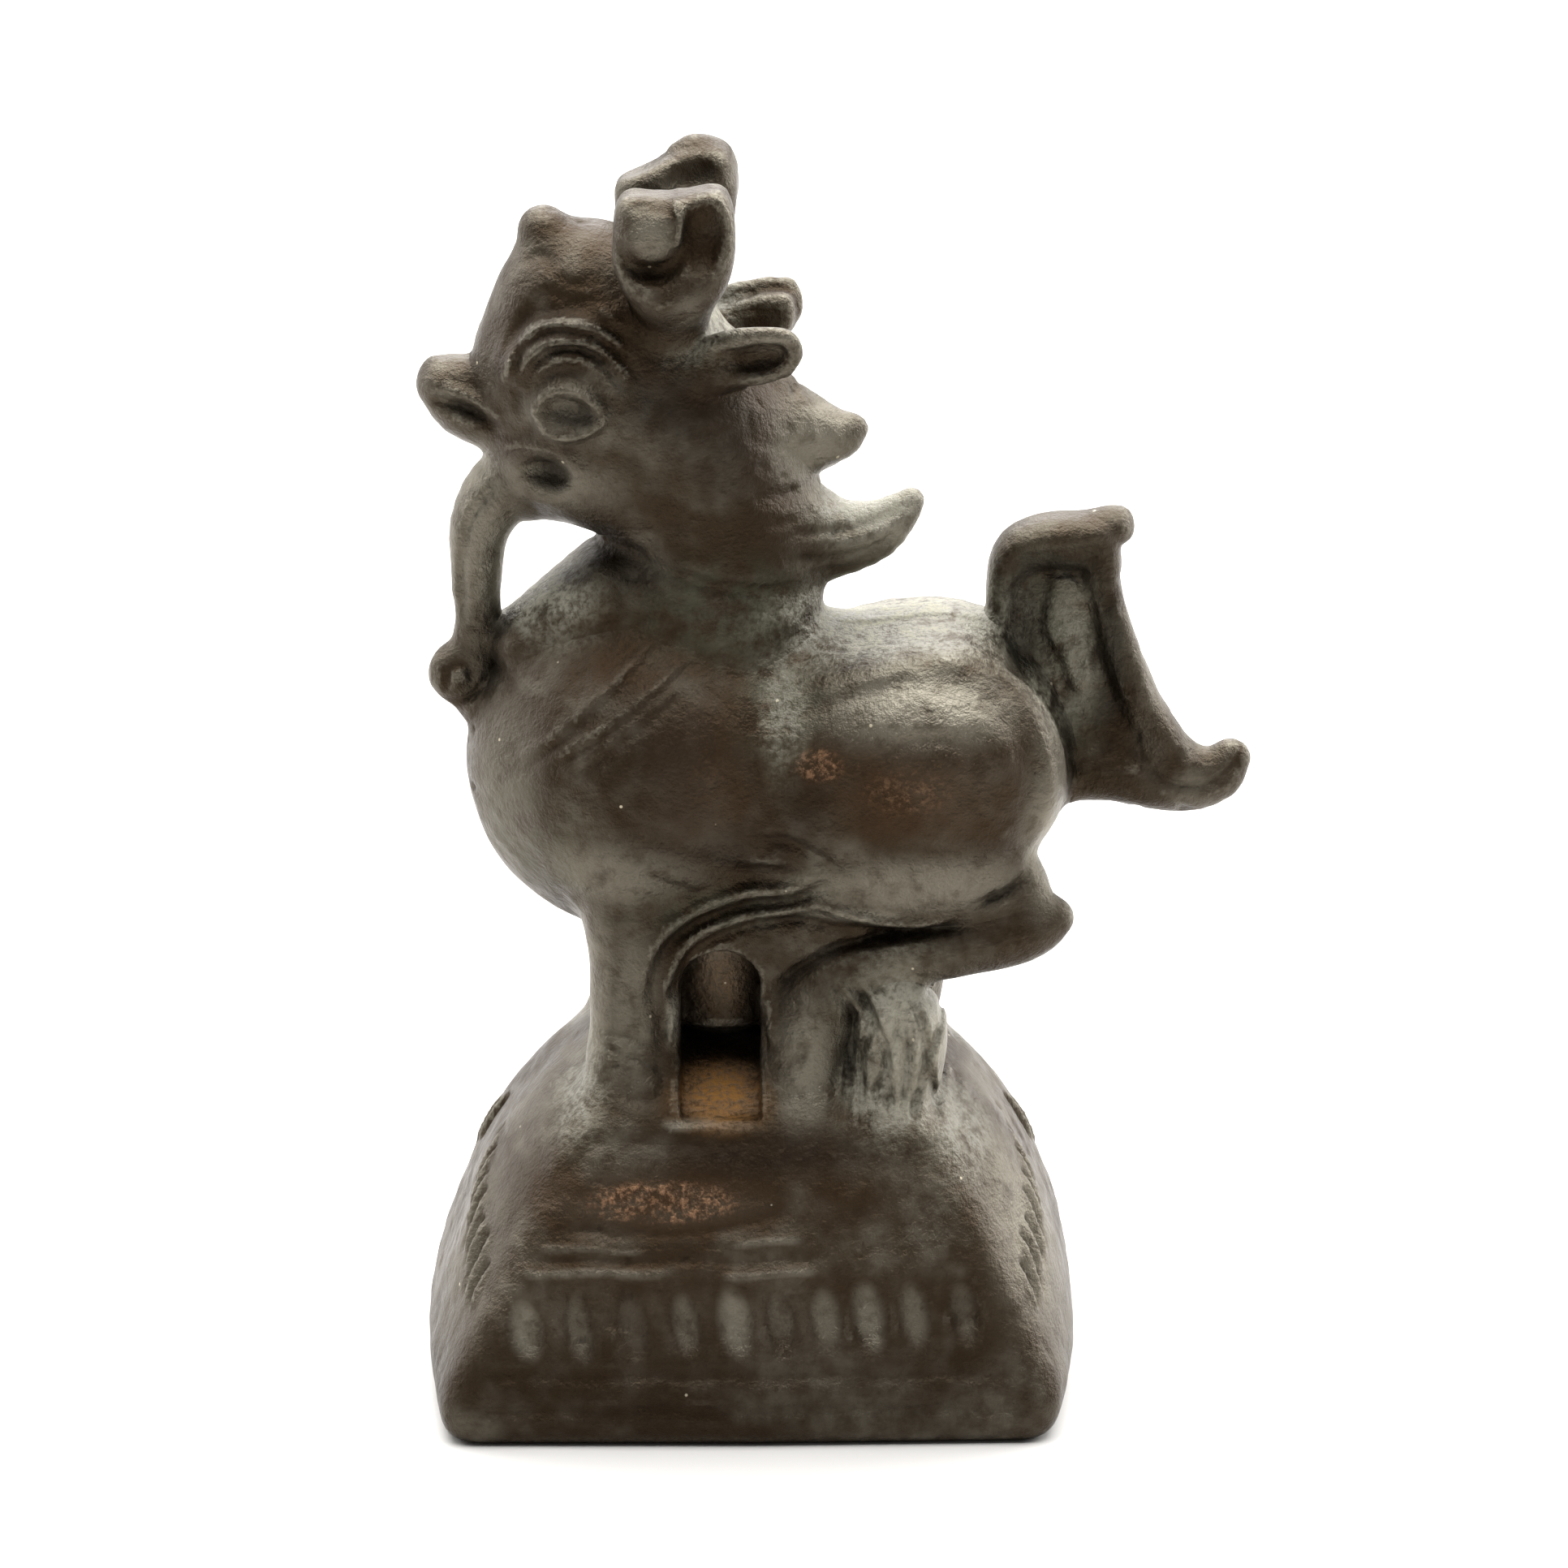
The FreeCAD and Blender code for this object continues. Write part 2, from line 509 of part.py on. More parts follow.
def niche_arch(body, sizes):
    """The niche's outline: two jambs under a half round."""
    sketch = new_sketch(body, "niche_arch", "XZ_Plane")
    sketch.setExpression("AttachmentOffset.Base.x", cell("niche_shift") + " * 1 mm")
    sketch.setExpression("AttachmentOffset.Base.y", cell("base_height") + " * 1 mm")
    sketch.setExpression("AttachmentOffset.Base.z", cell("core_wall") + " / 2 * 1 mm")
    radius = sizes["niche_width"] / 2
    spring = sizes["niche_height"] - radius
    jambs = [(-radius, spring), (-radius, 0), (radius, 0), (radius, spring)]
    outline(sketch, jambs, closed=False)
    crown = Part.Circle(Vector(0, spring, 0), Vector(0, 0, 1), radius)
    sketch.addGeometry(Part.ArcOfCircle(crown, 0, math.pi), False)
    sketch.addConstraint(Sketcher.Constraint("Tangent", 3, 1, 2, 2))
    sketch.addConstraint(Sketcher.Constraint("Tangent", 3, 2, 0, 1))
    sketch.addConstraint(Sketcher.Constraint("Horizontal", 1))
    sketch.addConstraint(Sketcher.Constraint("Symmetric", 1, 1, 1, 2, -1, 1))
    dimension(sketch, "DistanceX", (1, 1), (1, 2), "niche_width", 2 * radius)
    dimension(sketch, "DistanceY", (2, 1), (2, 2), "niche_height", spring)
    sketch.setExpression("Constraints.niche_height", "(%s - %s / 2) * 1 mm" % (cell("niche_height"), cell("niche_width")))
    return sketch


def label(nodes, name, obj):
    """Names a finished sub-part after its file."""
    obj.Label = name
    nodes[name] = obj
    return obj


def build_body(doc, lumps, nodes):
    """The pedestal's load: the trunk, the four legs and the block between them."""
    trunk = label(nodes, "trunk", lumps["trunk"])
    thigh = pair(doc, nodes, "thigh", cut(doc, "thigh", lumps["thigh"], trunk))
    pair(doc, nodes, "foreleg", cut(doc, "foreleg", lumps["foreleg"], trunk))
    hindleg = pair(doc, nodes, "hindleg", cut(doc, "hindleg", lumps["hindleg"], thigh, trunk))
    legs = [nodes[leg + side] for leg in ("foreleg", "hindleg") for side in ("_left", "_right")]
    block = label(nodes, "belly_block", cut(doc, "block", nodes.pop("block_blank"), trunk, *legs))
    pair(doc, nodes, "tuft", cut(doc, "tuft", lumps["tuft"], block, hindleg))
    return trunk


def build_head(doc, lumps, nodes, trunk):
    """The neck, the head and all that sits on them."""
    head = label(nodes, "head", fuse(doc, "head_wax", lumps["skull"], lumps["forehead"], lumps["jaw"]))
    throat = fuse(doc, "throat", lumps["neck"], lumps["chest_slope"])
    neck = label(nodes, "neck", cut(doc, "neck", throat, trunk, head))
    for name in ("snout", "knob"):
        label(nodes, name, cut(doc, name, lumps[name], head))
    label(nodes, "beard", cut(doc, "beard", lumps["beard"], head, neck, trunk))
    pair(doc, nodes, "eye", cut(doc, "eye", lumps["eye"], head))
    cup = cut(doc, "horn_cup", fuse(doc, "horn_wax", lumps["horn"], lumps["horn_cup"]), lumps["horn_hollow"])
    horn = pair(doc, nodes, "horn", cut(doc, "horn", cup, head))
    pair(doc, nodes, "pearl", cut(doc, "pearl", lumps["pearl"], horn, head))
    leaf = cut(doc, "ear_leaf", lumps["ear"], lumps["ear_hollow"])
    pair(doc, nodes, "ear", cut(doc, "ear", leaf, head))
    upper = label(nodes, "mane_upper", cut(doc, "mane_upper", lumps["mane_upper"], head, neck))
    label(nodes, "mane_lower", cut(doc, "mane_lower", lumps["mane_lower"], neck, upper))


def build_tail(doc, lumps, nodes, trunk):
    """The upright tail: a hollowed leaf, a hook at its foot and a curl at its top."""
    hollow = lumps["tail_hollow"]
    leaf = cut(doc, "tail_leaf", lumps["tail_blade"], hollow, mirror(doc, "tail_hollow_twin", hollow))
    blade = label(nodes, "tail_blade", cut(doc, "tail_blade", leaf, trunk))
    label(nodes, "tail_hook", cut(doc, "tail_hook", lumps["tail_hook"], trunk, blade))
    label(nodes, "tail_curl", cut(doc, "tail_curl", lumps["tail_curl"], blade))


def write(doc, nodes):
    """Checks every object and shape, then writes one file for each sub-part."""
    for obj in doc.Objects:
        if "Invalid" in obj.State or "Error" in obj.State:
            raise RuntimeError("%s is in error" % obj.Name)
    for name, obj in nodes.items():
        shape = obj.Shape
        if shape.isNull() or not shape.isValid() or len(shape.Solids) != 1:
            raise RuntimeError("%s has no single valid solid: %d" % (name, len(shape.Solids)))
    os.makedirs("parts", exist_ok=True)
    for name, obj in nodes.items():
        obj.Shape.exportStep("parts/%s.step" % name)


def main():
    doc = FreeCAD.newDocument("weight")
    sizes = all_sizes()
    fill_sheet(doc, sizes)
    nodes = {}
    label(nodes, "pedestal", pedestal(doc, sizes))
    nodes["block_blank"] = belly_block(doc, sizes)
    lumps = {name: egg(doc, name, sizes) for name in EGGS}
    lumps.update({name: limb(doc, name, sizes) for name in LIMBS})
    trunk = build_body(doc, lumps, nodes)
    build_head(doc, lumps, nodes, trunk)
    build_tail(doc, lumps, nodes, trunk)
    doc.recompute()
    write(doc, nodes)


main()
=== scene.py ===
"""A cast bronze balance weight: a horned beast on an eight-sided pedestal.

The metal is one lost-wax casting, so it is drawn as its wax was made: lumps are pressed together in
one field of distances, lines are scored into it, and each sub-part's skin is then taken from that
one field. A seam between two sub-parts is therefore a crease in one surface, as it is in the metal.
The beast faces -X, its left side is -Y, and lengths in the wax are in millimetres.
"""
import math

import bpy
import numpy as np
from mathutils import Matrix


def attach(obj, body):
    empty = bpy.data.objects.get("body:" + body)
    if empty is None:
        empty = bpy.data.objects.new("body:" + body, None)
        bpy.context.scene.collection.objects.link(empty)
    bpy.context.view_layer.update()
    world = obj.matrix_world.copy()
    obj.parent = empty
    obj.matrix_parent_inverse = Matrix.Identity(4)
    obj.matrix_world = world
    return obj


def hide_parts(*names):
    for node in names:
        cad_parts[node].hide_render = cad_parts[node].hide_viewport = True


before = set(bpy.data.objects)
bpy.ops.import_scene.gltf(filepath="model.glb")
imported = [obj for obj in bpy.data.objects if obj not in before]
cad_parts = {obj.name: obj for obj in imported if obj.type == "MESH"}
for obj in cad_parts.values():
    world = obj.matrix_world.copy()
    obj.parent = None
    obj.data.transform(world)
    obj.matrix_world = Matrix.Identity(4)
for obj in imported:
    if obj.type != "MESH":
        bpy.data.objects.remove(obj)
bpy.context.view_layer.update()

import openvdb
from bpy.props import FloatProperty, FloatVectorProperty, IntProperty, PointerProperty, StringProperty
from mathutils import Vector

bl_info = {
    "name": "Cast bronze weight",
    "version": (1, 0, 0),
    "blender": (4, 5, 0),
    "location": "View3D > Sidebar > Weight",
    "description": "Builds a lost-wax bronze balance weight in the shape of a horned beast",
    "category": "Add Mesh",
}

MM = 0.001
# A distance in millimetres that stands for "nowhere near".
FAR = 4.0
# The wax field covers the left half of the beast, up to its middle plane.
WAX_LOW = (-11.4, -8.8, -0.8)
WAX_HIGH = (16.2, 0.0, 39.0)


def smooth_union(first, second, blend):
    """The nearer of two distances, with a fillet about as wide as blend."""
    share = np.maximum(blend - np.abs(first - second), 0.0) / blend
    return np.minimum(first, second) - share * share * blend * 0.25


def smooth_cut(first, second, blend):
    """The farther of two distances, with a softened edge."""
    return -smooth_union(-first, -second, blend)


def curve_through(points, steps=4):
    """A smooth line through points of any number of values each."""
    knots = np.array(points, dtype=np.float32)
    padded = np.vstack([2 * knots[0] - knots[1], knots, 2 * knots[-1] - knots[-2]])
    out = []
    for index in range(len(knots) - 1):
        before, start, end, after = padded[index:index + 4]
        for step in range(steps):
            t = step / steps
            out.append(0.5 * (2 * start + (end - before) * t
                              + (2 * before - 5 * start + 4 * end - after) * t ** 2
                              + (3 * start - before - 3 * end + after) * t ** 3))
    out.append(knots[-1])
    return np.array(out, dtype=np.float32)


def ring_through(points, steps=5):
    """A smooth closed line through points of two values each."""
    loop = list(points[-2:]) + list(points) + list(points[:2])
    line = curve_through(loop, steps)
    return line[2 * steps:-2 * steps]


class Lump:
    """A shape in the wax: a function of (x, y, z) that gives distances, and the box it matters in."""

    def __init__(self, distance, low, high):
        self.distance = distance
        self.low = np.array(low, dtype=float)
        self.high = np.array(high, dtype=float)


def egg(middle, half, lean=0.0):
    """An ellipsoid, turned by lean degrees from +X towards +Z."""
    turn_cos, turn_sin = math.cos(math.radians(lean)), math.sin(math.radians(lean))

    def distance(x, y, z):
        dx, dy, dz = x - middle[0], y - middle[1], z - middle[2]
        along, up = dx * turn_cos + dz * turn_sin, dz * turn_cos - dx * turn_sin
        scaled = [along / half[0], dy / half[1], up / half[2]]
        near = np.sqrt(sum(value ** 2 for value in scaled))
        slope = np.sqrt(sum((value / size) ** 2 for value, size in zip(scaled, half)))
        return near * (near - 1.0) / np.maximum(slope, 1e-4)

    reach = max(half[0], half[2])
    spread = np.array([reach, half[1], reach])
    return Lump(distance, np.array(middle) - spread, np.array(middle) + spread)


def rod(stations, wide=1.0, steps=3):
    """A bent, tapering rod through stations (x, y, z, radius). wide stretches its section along Y."""
    line = curve_through(stations, steps)

    def distance(x, y, z):
        nearest = None
        for start, end in zip(line[:-1], line[1:]):
            ax, ay, az = x - start[0], (y - start[1]) / wide, z - start[2]
            bx, by, bz = end[0] - start[0], (end[1] - start[1]) / wide, end[2] - start[2]
            along = np.clip((ax * bx + ay * by + az * bz) / (bx * bx + by * by + bz * bz + 1e-6), 0.0, 1.0)
            away = np.sqrt((ax - along * bx) ** 2 + (ay - along * by) ** 2 + (az - along * bz) ** 2)
            away -= start[3] + along * (end[3] - start[3])
            nearest = away if nearest is None else np.minimum(nearest, away)
        return nearest * min(wide, 1.0)

    spread = line[:, 3:4] * np.array([[1.0, wide, 1.0]])
    return Lump(distance, (line[:, :3] - spread).min(axis=0), (line[:, :3] + spread).max(axis=0))


def flat_distance(x, z, outline):
    """Signed distance in the XZ plane from a closed outline."""
    nearest = None
    inside = None
    for start, end in zip(outline, np.roll(outline, -1, axis=0)):
        ax, az = x - start[0], z - start[1]
        bx, bz = end[0] - start[0], end[1] - start[1]
        along = np.clip((ax * bx + az * bz) / (bx * bx + bz * bz + 1e-9), 0.0, 1.0)
        away = (ax - along * bx) ** 2 + (az - along * bz) ** 2
        nearest = away if nearest is None else np.minimum(nearest, away)
        crosses = (start[1] > z) != (end[1] > z)
        at = start[0] + (z - start[1]) * bx / (bz if abs(bz) > 1e-9 else 1e-9)
        flip = crosses & (x < at)
        inside = flip if inside is None else inside ^ flip
    return np.where(inside, -1.0, 1.0) * np.sqrt(nearest)


def leaf(outline, middle_y, half_thick, rounding, steps=5):
    """A flat leaf: a smooth outline in the XZ plane, thick along Y, with rounded edges."""
    edge = ring_through(outline, steps)

    def distance(x, y, z):
        across = flat_distance(x, z, edge) + rounding
        through = np.abs(y - middle_y) - half_thick + rounding
        outer = np.sqrt(np.maximum(across, 0.0) ** 2 + np.maximum(through, 0.0) ** 2)
        return np.minimum(np.maximum(across, through), 0.0) + outer - rounding

    low = (edge[:, 0].min(), middle_y - half_thick, edge[:, 1].min())
    high = (edge[:, 0].max(), middle_y + half_thick, edge[:, 1].max())
    return Lump(distance, low, high)


def line_distance(u, v, points):
    """Distance in a plane from an open line."""
    nearest = None
    for start, end in zip(points[:-1], points[1:]):
        au, av = u - start[0], v - start[1]
        bu, bv = end[0] - start[0], end[1] - start[1]
        along = np.clip((au * bu + av * bv) / (bu * bu + bv * bv + 1e-9), 0.0, 1.0)
        away = (au - along * bu) ** 2 + (av - along * bv) ** 2
        nearest = away if nearest is None else np.minimum(nearest, away)
    return np.sqrt(nearest)


class Wax:
    """The wax model's left half as distances in millimetres, and each sub-part's own share of it."""

    def __init__(self, voxel):
        self.voxel = voxel
        self.x = np.arange(WAX_LOW[0], WAX_HIGH[0], voxel, dtype=np.float32)
        self.y = -((np.arange(round(-WAX_LOW[1] / voxel), dtype=np.float32) + 0.5) * voxel)[::-1]
        self.z = np.arange(WAX_LOW[2], WAX_HIGH[2], voxel, dtype=np.float32)
        self.skin = np.full((len(self.x), len(self.y), len(self.z)), FAR, dtype=np.float32)
        self.shares = {}

    def block(self, low, high):
        """The slices of the grid within a box, and their coordinates."""
        slices = tuple(slice(int(np.searchsorted(axis, lo)), int(np.searchsorted(axis, hi)) + 1)
                       for axis, lo, hi in zip((self.x, self.y, self.z), low, high))
        x = self.x[slices[0]][:, None, None]
        y = self.y[slices[1]][None, :, None]
        z = self.z[slices[2]][None, None, :]
        return slices, x, y, z

    def press(self, node, lump, blend=0.4, reach=1.2):
        """Presses a lump of a sub-part on, with a fillet about as wide as blend."""
        slices, x, y, z = self.block(lump.low - reach, lump.high + reach)
        distance = lump.distance(x, y, z).astype(np.float32)
        self.skin[slices] = smooth_union(self.skin[slices], distance, blend)
        if node not in self.shares:
            self.shares[node] = np.full(self.skin.shape, FAR, dtype=np.float32)
        share = self.shares[node]
        share[slices] = smooth_union(share[slices], distance, blend)

    def scoop(self, lump, edge=0.25):
        """Takes a lump's shape out of all that it meets."""
        slices, x, y, z = self.block(lump.low - edge, lump.high + edge)
        distance = lump.distance(x, y, z).astype(np.float32)
        self.skin[slices] = smooth_cut(self.skin[slices], -distance, edge)

    def score(self, points, width, depth, low_y, high_y, steps=4, taper=True):
        """Scores a line into the side, or raises a ridge when depth is negative. Points are (x, z)."""
        line = curve_through(points, steps)
        low = (line[:, 0].min() - 2.5 * width, low_y, line[:, 1].min() - 2.5 * width)
        high = (line[:, 0].max() + 2.5 * width, high_y, line[:, 1].max() + 2.5 * width)
        slices, x, y, z = self.block(low, high)
        away = line_distance(x, z, line) / width
        mark = depth * np.exp(-away ** 2)
        if taper:
            ends = np.minimum(np.hypot(x - line[0, 0], z - line[0, 1]),
                              np.hypot(x - line[-1, 0], z - line[-1, 1]))
            mark = mark * (0.35 + 0.65 * np.clip(ends / (4 * width), 0.0, 1.0))
        self.skin[slices] += mark.astype(np.float32)

    def score_each(self, low_y, high_y, rows):
        """Scores several lines between the same two Y. A row is a line's width, depth and points."""
        for width, depth, points in rows:
            self.score(points, width, depth, low_y, high_y)

    def furrow(self, points, cut, shift, ridge, low_y, high_y):
        """Scores a line by cut (width, depth), with a ridge (width, height) beside it at shift (x, z)."""
        self.score(points, cut[0], cut[1], low_y, high_y)
        beside = [(x + shift[0], z + shift[1]) for x, z in points]
        self.score(beside, ridge[0], -ridge[1], low_y, high_y)

    def twin(self, changed):
        """The same wax, to be worked on by itself in the named sub-parts."""
        other = Wax.__new__(Wax)
        other.__dict__.update(self.__dict__)
        other.skin = self.skin.copy()
        other.shares = {node: share.copy() if node in changed else share
                        for node, share in self.shares.items()}
        return other

    def stamp(self, low, high, pattern):
        """Adds pattern(x, y, z) millimetres of depth to the surface inside a box."""
        slices, x, y, z = self.block(low, high)
        self.skin[slices] += pattern(x, y, z).astype(np.float32)


wax = None


def profile(z, heights, halves):
    """A half width at height z, read smoothly from a few measured ones."""
    fine = curve_through(list(zip(heights, halves)), 6)
    return np.interp(z, fine[:, 0], fine[:, 1]).astype(np.float32)


# The bell at some heights, as half widths: its whole length, its depth, and its long face's flat.
RISE = (0.0, 0.5, 1.2, 2.0, 3.6, 5.3, 6.7, 8.0, 9.2, 10.0, 10.7, 11.5)
SIDE_HALF = (9.4, 9.76, 9.9, 9.84, 9.45, 8.87, 8.28, 7.5, 6.5, 5.6, 4.9, 4.2)
LONG_HALF = (7.95, 8.08, 8.1, 7.95, 7.58, 7.1, 6.55, 6.0, 5.4, 4.7, 3.8, 2.8)
FLAT_HALF = (8.85, 9.15, 9.2, 8.95, 8.15, 7.3, 6.6, 5.85, 5.2, 4.7, 3.9, 3.2)
# Half of a short face's flat at the widest height, and the height of the bell's top.
SIDE_FLAT = 4.4
BELL_TOP = 11.3
# The walls lean, so the distance to them is a little less than the level one.
WALL_LEAN = 0.88


def pedestal_lump():
    """The eight-sided bell, with its corners cut and its underside flat."""
    def distance(x, y, z):
        side, deep, flat = (profile(z, RISE, half) for half in (SIDE_HALF, LONG_HALF, FLAT_HALF))
        # It narrows a little towards the tail and stands a little off its middle.
        deep = deep - 0.03 * np.clip(x, 0.0, 10.0)
        middle = np.clip(0.1 - 0.04 * z, -0.1, 0.1)
        corner_x, corner_y = deep - SIDE_FLAT * deep / LONG_HALF[2], side - flat
        size = np.sqrt(corner_x ** 2 + corner_y ** 2)
        wide = np.abs(x + middle)
        cut = ((wide - flat) * corner_x + (np.abs(y) - deep) * corner_y) / size
        walls = smooth_cut(wide - side, np.abs(y) - deep, 0.5)
        walls = smooth_cut(walls, cut, 0.9) * WALL_LEAN
        walls = smooth_cut(walls, z - BELL_TOP, 0.8)
        return smooth_cut(walls, -z, 0.3)

    return Lump(distance, (-10.2, -8.2, 0.0), (10.2, 0.0, 11.6))


# Oval stamps on the long face, from left to right: place along it, half width and paleness.
STAMPS = ((-6.8, 0.5, 0.8), (-5.2, 0.42, 0.45), (-3.6, 0.46, 0.3), (-2.0, 0.4, 0.6), (-0.5, 0.5, 1.0),
          (0.85, 0.42, 0.5), (2.2, 0.46, 0.65), (3.5, 0.46, 0.75), (4.85, 0.42, 0.5), (6.35, 0.4, 0.3))


def stamp_shape(x, z, number):
    """How deep an oval stamp is at a point of the long face, from 0 to 1."""
    place, half, _ = STAMPS[number]
    across = (x - place + 0.14 * (z - 3.8)) / half
    along = (z - 3.78 - 0.03 * place) / (0.86 + 0.06 * ((number * 2) % 3))
    return np.exp(-(across ** 2 + along ** 2) ** 2)


# Lines of relief on the long face: height at the left end, rise per millimetre, left end, right end,
# half width, depth. A negative depth stands proud.
FACE_LINES = (
    (2.2, 0.0, -8.0, 8.0, 0.2, 0.09), (1.15, 0.0, -8.4, 8.4, 0.2, 0.11),
    (5.2, 0.01, -7.1, -2.2, 0.15, -0.08), (5.15, 0.03, -1.0, 2.1, 0.15, -0.1),
    (5.9, -0.03, -6.6, -3.1, 0.14, -0.06), (6.05, 0.03, -0.9, 1.7, 0.14, -0.08),
    (6.35, -0.03, -6.0, -2.4, 0.2, 0.1), (6.2, 0.18, -2.4, 1.3, 0.2, 0.1),
    (9.3, 0.0, -2.8, -0.7, 0.13, -0.1), (8.75, 0.0, -5.0, 0.4, 0.22, 0.08),
    (7.7, 0.02, -5.0, -0.4, 0.2, 0.05), (5.55, 0.0, -6.8, 1.9, 0.16, 0.05),
)


def face_relief(x, z):
    """The broken lines on the long face."""
    depth = 0.0
    for height, rise, left, right, half, size in FACE_LINES:
        ends = np.clip((x - left) * 2.0, 0.0, 1.0) * np.clip((right - x) * 2.0, 0.0, 1.0)
        level = height + rise * (x - left) + 0.04 * np.sin(x * 2.1 + height)
        depth = depth + size * ends * np.exp(-((z - level) / half) ** 2)
    return depth


def shape_far_side(far_wax):
    """The right side differs: its horn's tip curls up over a dish, and its heel is shorter."""
    far_wax.scoop(egg((-3.95, -2.9, 37.7), (1.55, 2.4, 1.3)), 0.5)
    tip = [(-1.2, -2.9, 36.2, 0.7), (-1.25, -2.9, 36.8, 0.68),
           (-1.65, -2.85, 37.12, 0.56), (-2.1, -2.8, 37.1, 0.36)]
    far_wax.press("horn_left", rod(tip), 0.3)
    far_wax.scoop(egg((-1.8, -1.6, 36.7), (0.8, 0.42, 0.55), 25), 0.25)
    far_wax.scoop(egg((10.4, -2.9, 15.2), (1.7, 2.4, 2.6)), 0.6)


class PedestalSettings(bpy.types.PropertyGroup):
    """The pedestal and what is scored into it."""

    stamps: IntProperty(name="Stamps", description="Oval stamps along each long face",
                        default=10, min=0, max=10)
    stamp_depth: FloatProperty(name="Stamp depth", description="Depth of the oval stamps, in mm",
                               default=0.18)
    hatching: IntProperty(name="Hatch strokes", description="Strokes on each cut corner", default=7, min=0)
    hatch_depth: FloatProperty(name="Hatch depth", description="Depth of the strokes, in mm", default=0.24)


class WaxSettings(bpy.types.PropertyGroup):
    """How the wax is worked."""

    voxel: FloatProperty(name="Grain", description="Spacing of the distance grid, in mm",
                         default=0.11, min=0.06)
    seam: FloatProperty(name="Seam", description="How far neighbouring skins overlap, in mm", default=0.45)
    dive: FloatProperty(name="Dive", description="Slope of a skin's hem under its neighbour", default=0.3)
    wobble: FloatProperty(name="Wobble", description="Unevenness of handwork, in mm", default=0.09)
    pitting: FloatProperty(name="Pitting", description="Depth of casting flaws, in mm", default=0.08)


class FinishSettings(bpy.types.PropertyGroup):
    """Colours of the metal and of what lies on it, as sRGB hex values; some of them also paint shade,
    highlights and sheen.
    """

    patina: StringProperty(name="Patina", description="Brown-black patina", default="302518")
    # The bloom colour also paints the highlights and sheen laid by the pale spots.
    bloom: StringProperty(name="Bloom", description="Paler grey bloom on the patina", default="827d70")
    # The crevice colour is painted shade in creases and recesses, and partly soot on the dark spots.
    crevice: StringProperty(name="Crevice", description="Soot-dark recesses", default="17120d")
    # The rubbed colour and the copper grains also paint a copper sheen on the pedestal's long face, and the
    # rubbed colour paints reflected light under the niche's arch.
    rubbed: StringProperty(name="Rubbed", description="Patina rubbed thin over the metal", default="3a2a1b")
    copper: StringProperty(name="Bare metal", description="Grains of copper-brown metal", default="8c6a50")
    dust: StringProperty(name="Dust", description="Dry grey-buff dust", default="9d9a88")
    verdigris: StringProperty(name="Verdigris", description="Greenish bloom in sheltered places",
                              default="4e5242")
    # The ochre also stands in for light: it paints the niche's floor brighter where light falls on it.
    ochre: StringProperty(name="Ochre", description="Golden-brown earth on the niche floor", default="94682f")
    speck: StringProperty(name="Specks", description="Pale mineral grains in the skin", default="d8cdb4")
    gloss: FloatProperty(name="Roughness", description="Roughness of the handled patina",
                         default=0.38, min=0.0, max=1.0)


class StageSettings(bpy.types.PropertyGroup):
    """Floor, light and camera."""

    floor: StringProperty(name="Floor", description="Colour of the paper floor", default="cac8c5")
    room: FloatProperty(name="Room light", description="Strength of the white room's light",
                        default=0.15, min=0.0)
    distance: FloatProperty(name="Distance", description="Camera's distance in mm", default=232.75)
    elevation: FloatProperty(name="Elevation", description="Camera's height angle, in degrees", default=18.0)
    aim: FloatVectorProperty(name="Aim", description="Point that the camera looks at, in mm",
                             size=3, default=(0.944, 0.0, 18.26))
    lens: FloatProperty(name="Lens", description="Focal length on a 36 mm sensor, in mm", default=177.0)


# Strokes on a cut corner: the first one's middle as (y, z), the step to the next, the lean in Y for
# each millimetre up and the half width. Beside each lies a burr: its half width and how far off it is.
STROKE_FIRST = (1.5, 7.0)
STROKE_STEP = (0.74, -0.43)
STROKE_LEAN = 0.275
STROKE_HALF = 0.13
BURR_HALF = 0.14
BURR_PLACE = 0.27


def press_pedestal(settings):
    """The bell, its relief lines, stamps and hatching."""
    wax.press("pedestal", pedestal_lump(), blend=0.3)

    def long_face(x, y, z):
        depth = face_relief(x, z)
        for number in range(settings.stamps):
            depth = depth + settings.stamp_depth * stamp_shape(x, z, number)
        return depth

    wax.stamp((-9.0, -8.8, 0.6), (9.0, -4.4, 9.6), long_face)

    def corner(x, y, z):
        depth = 0.0
        for number in range(settings.hatching):
            middle_y = STROKE_FIRST[0] + STROKE_STEP[0] * number
            middle_z = STROKE_FIRST[1] + STROKE_STEP[1] * number
            away = (np.abs(y) - middle_y) + STROKE_LEAN * (z - middle_z)
            reach = 0.85 + 0.2 * math.sin(3.0 * number)
            ends = np.clip(1.0 - ((z - middle_z) / reach) ** 4, 0.0, 1.0)
            cut = np.exp(-(away / STROKE_HALF) ** 2)
            burr = np.exp(-((away - BURR_PLACE) / BURR_HALF) ** 2)
            depth = depth + settings.hatch_depth * ends * (cut - 0.5 * burr)
        return depth

    for low, high in ((-10.6, -6.0), (6.0, 10.6)):
        wax.stamp((low, -7.6, 1.4), (high, 0.0, 9.4), corner)


def press_block():
    """The web under the belly, which fills the space between the legs."""
    web = [(-3.6, 8.8), (-3.7, 12.6), (-3.1, 14.7), (-1.7, 15.9), (0.2, 16.5),
           (2.4, 16.6), (3.6, 15.2), (3.6, 12.4), (3.4, 8.8)]
    wax.press("belly_block", leaf(web, 0.0, 3.75, 0.8), 0.5)
    foot = [(-2.9, -2.6, 9.9, 1.3), (0.0, -2.8, 9.7, 1.35), (3.6, -2.6, 9.7, 1.3)]
    wax.press("belly_block", rod(foot, 1.2), 0.6)


# The niche: its middle along the beast, its half width, and the height where its arch springs.
NICHE_MIDDLE = -0.95
NICHE_HALF = 1.2
NICHE_SPRING = 13.0


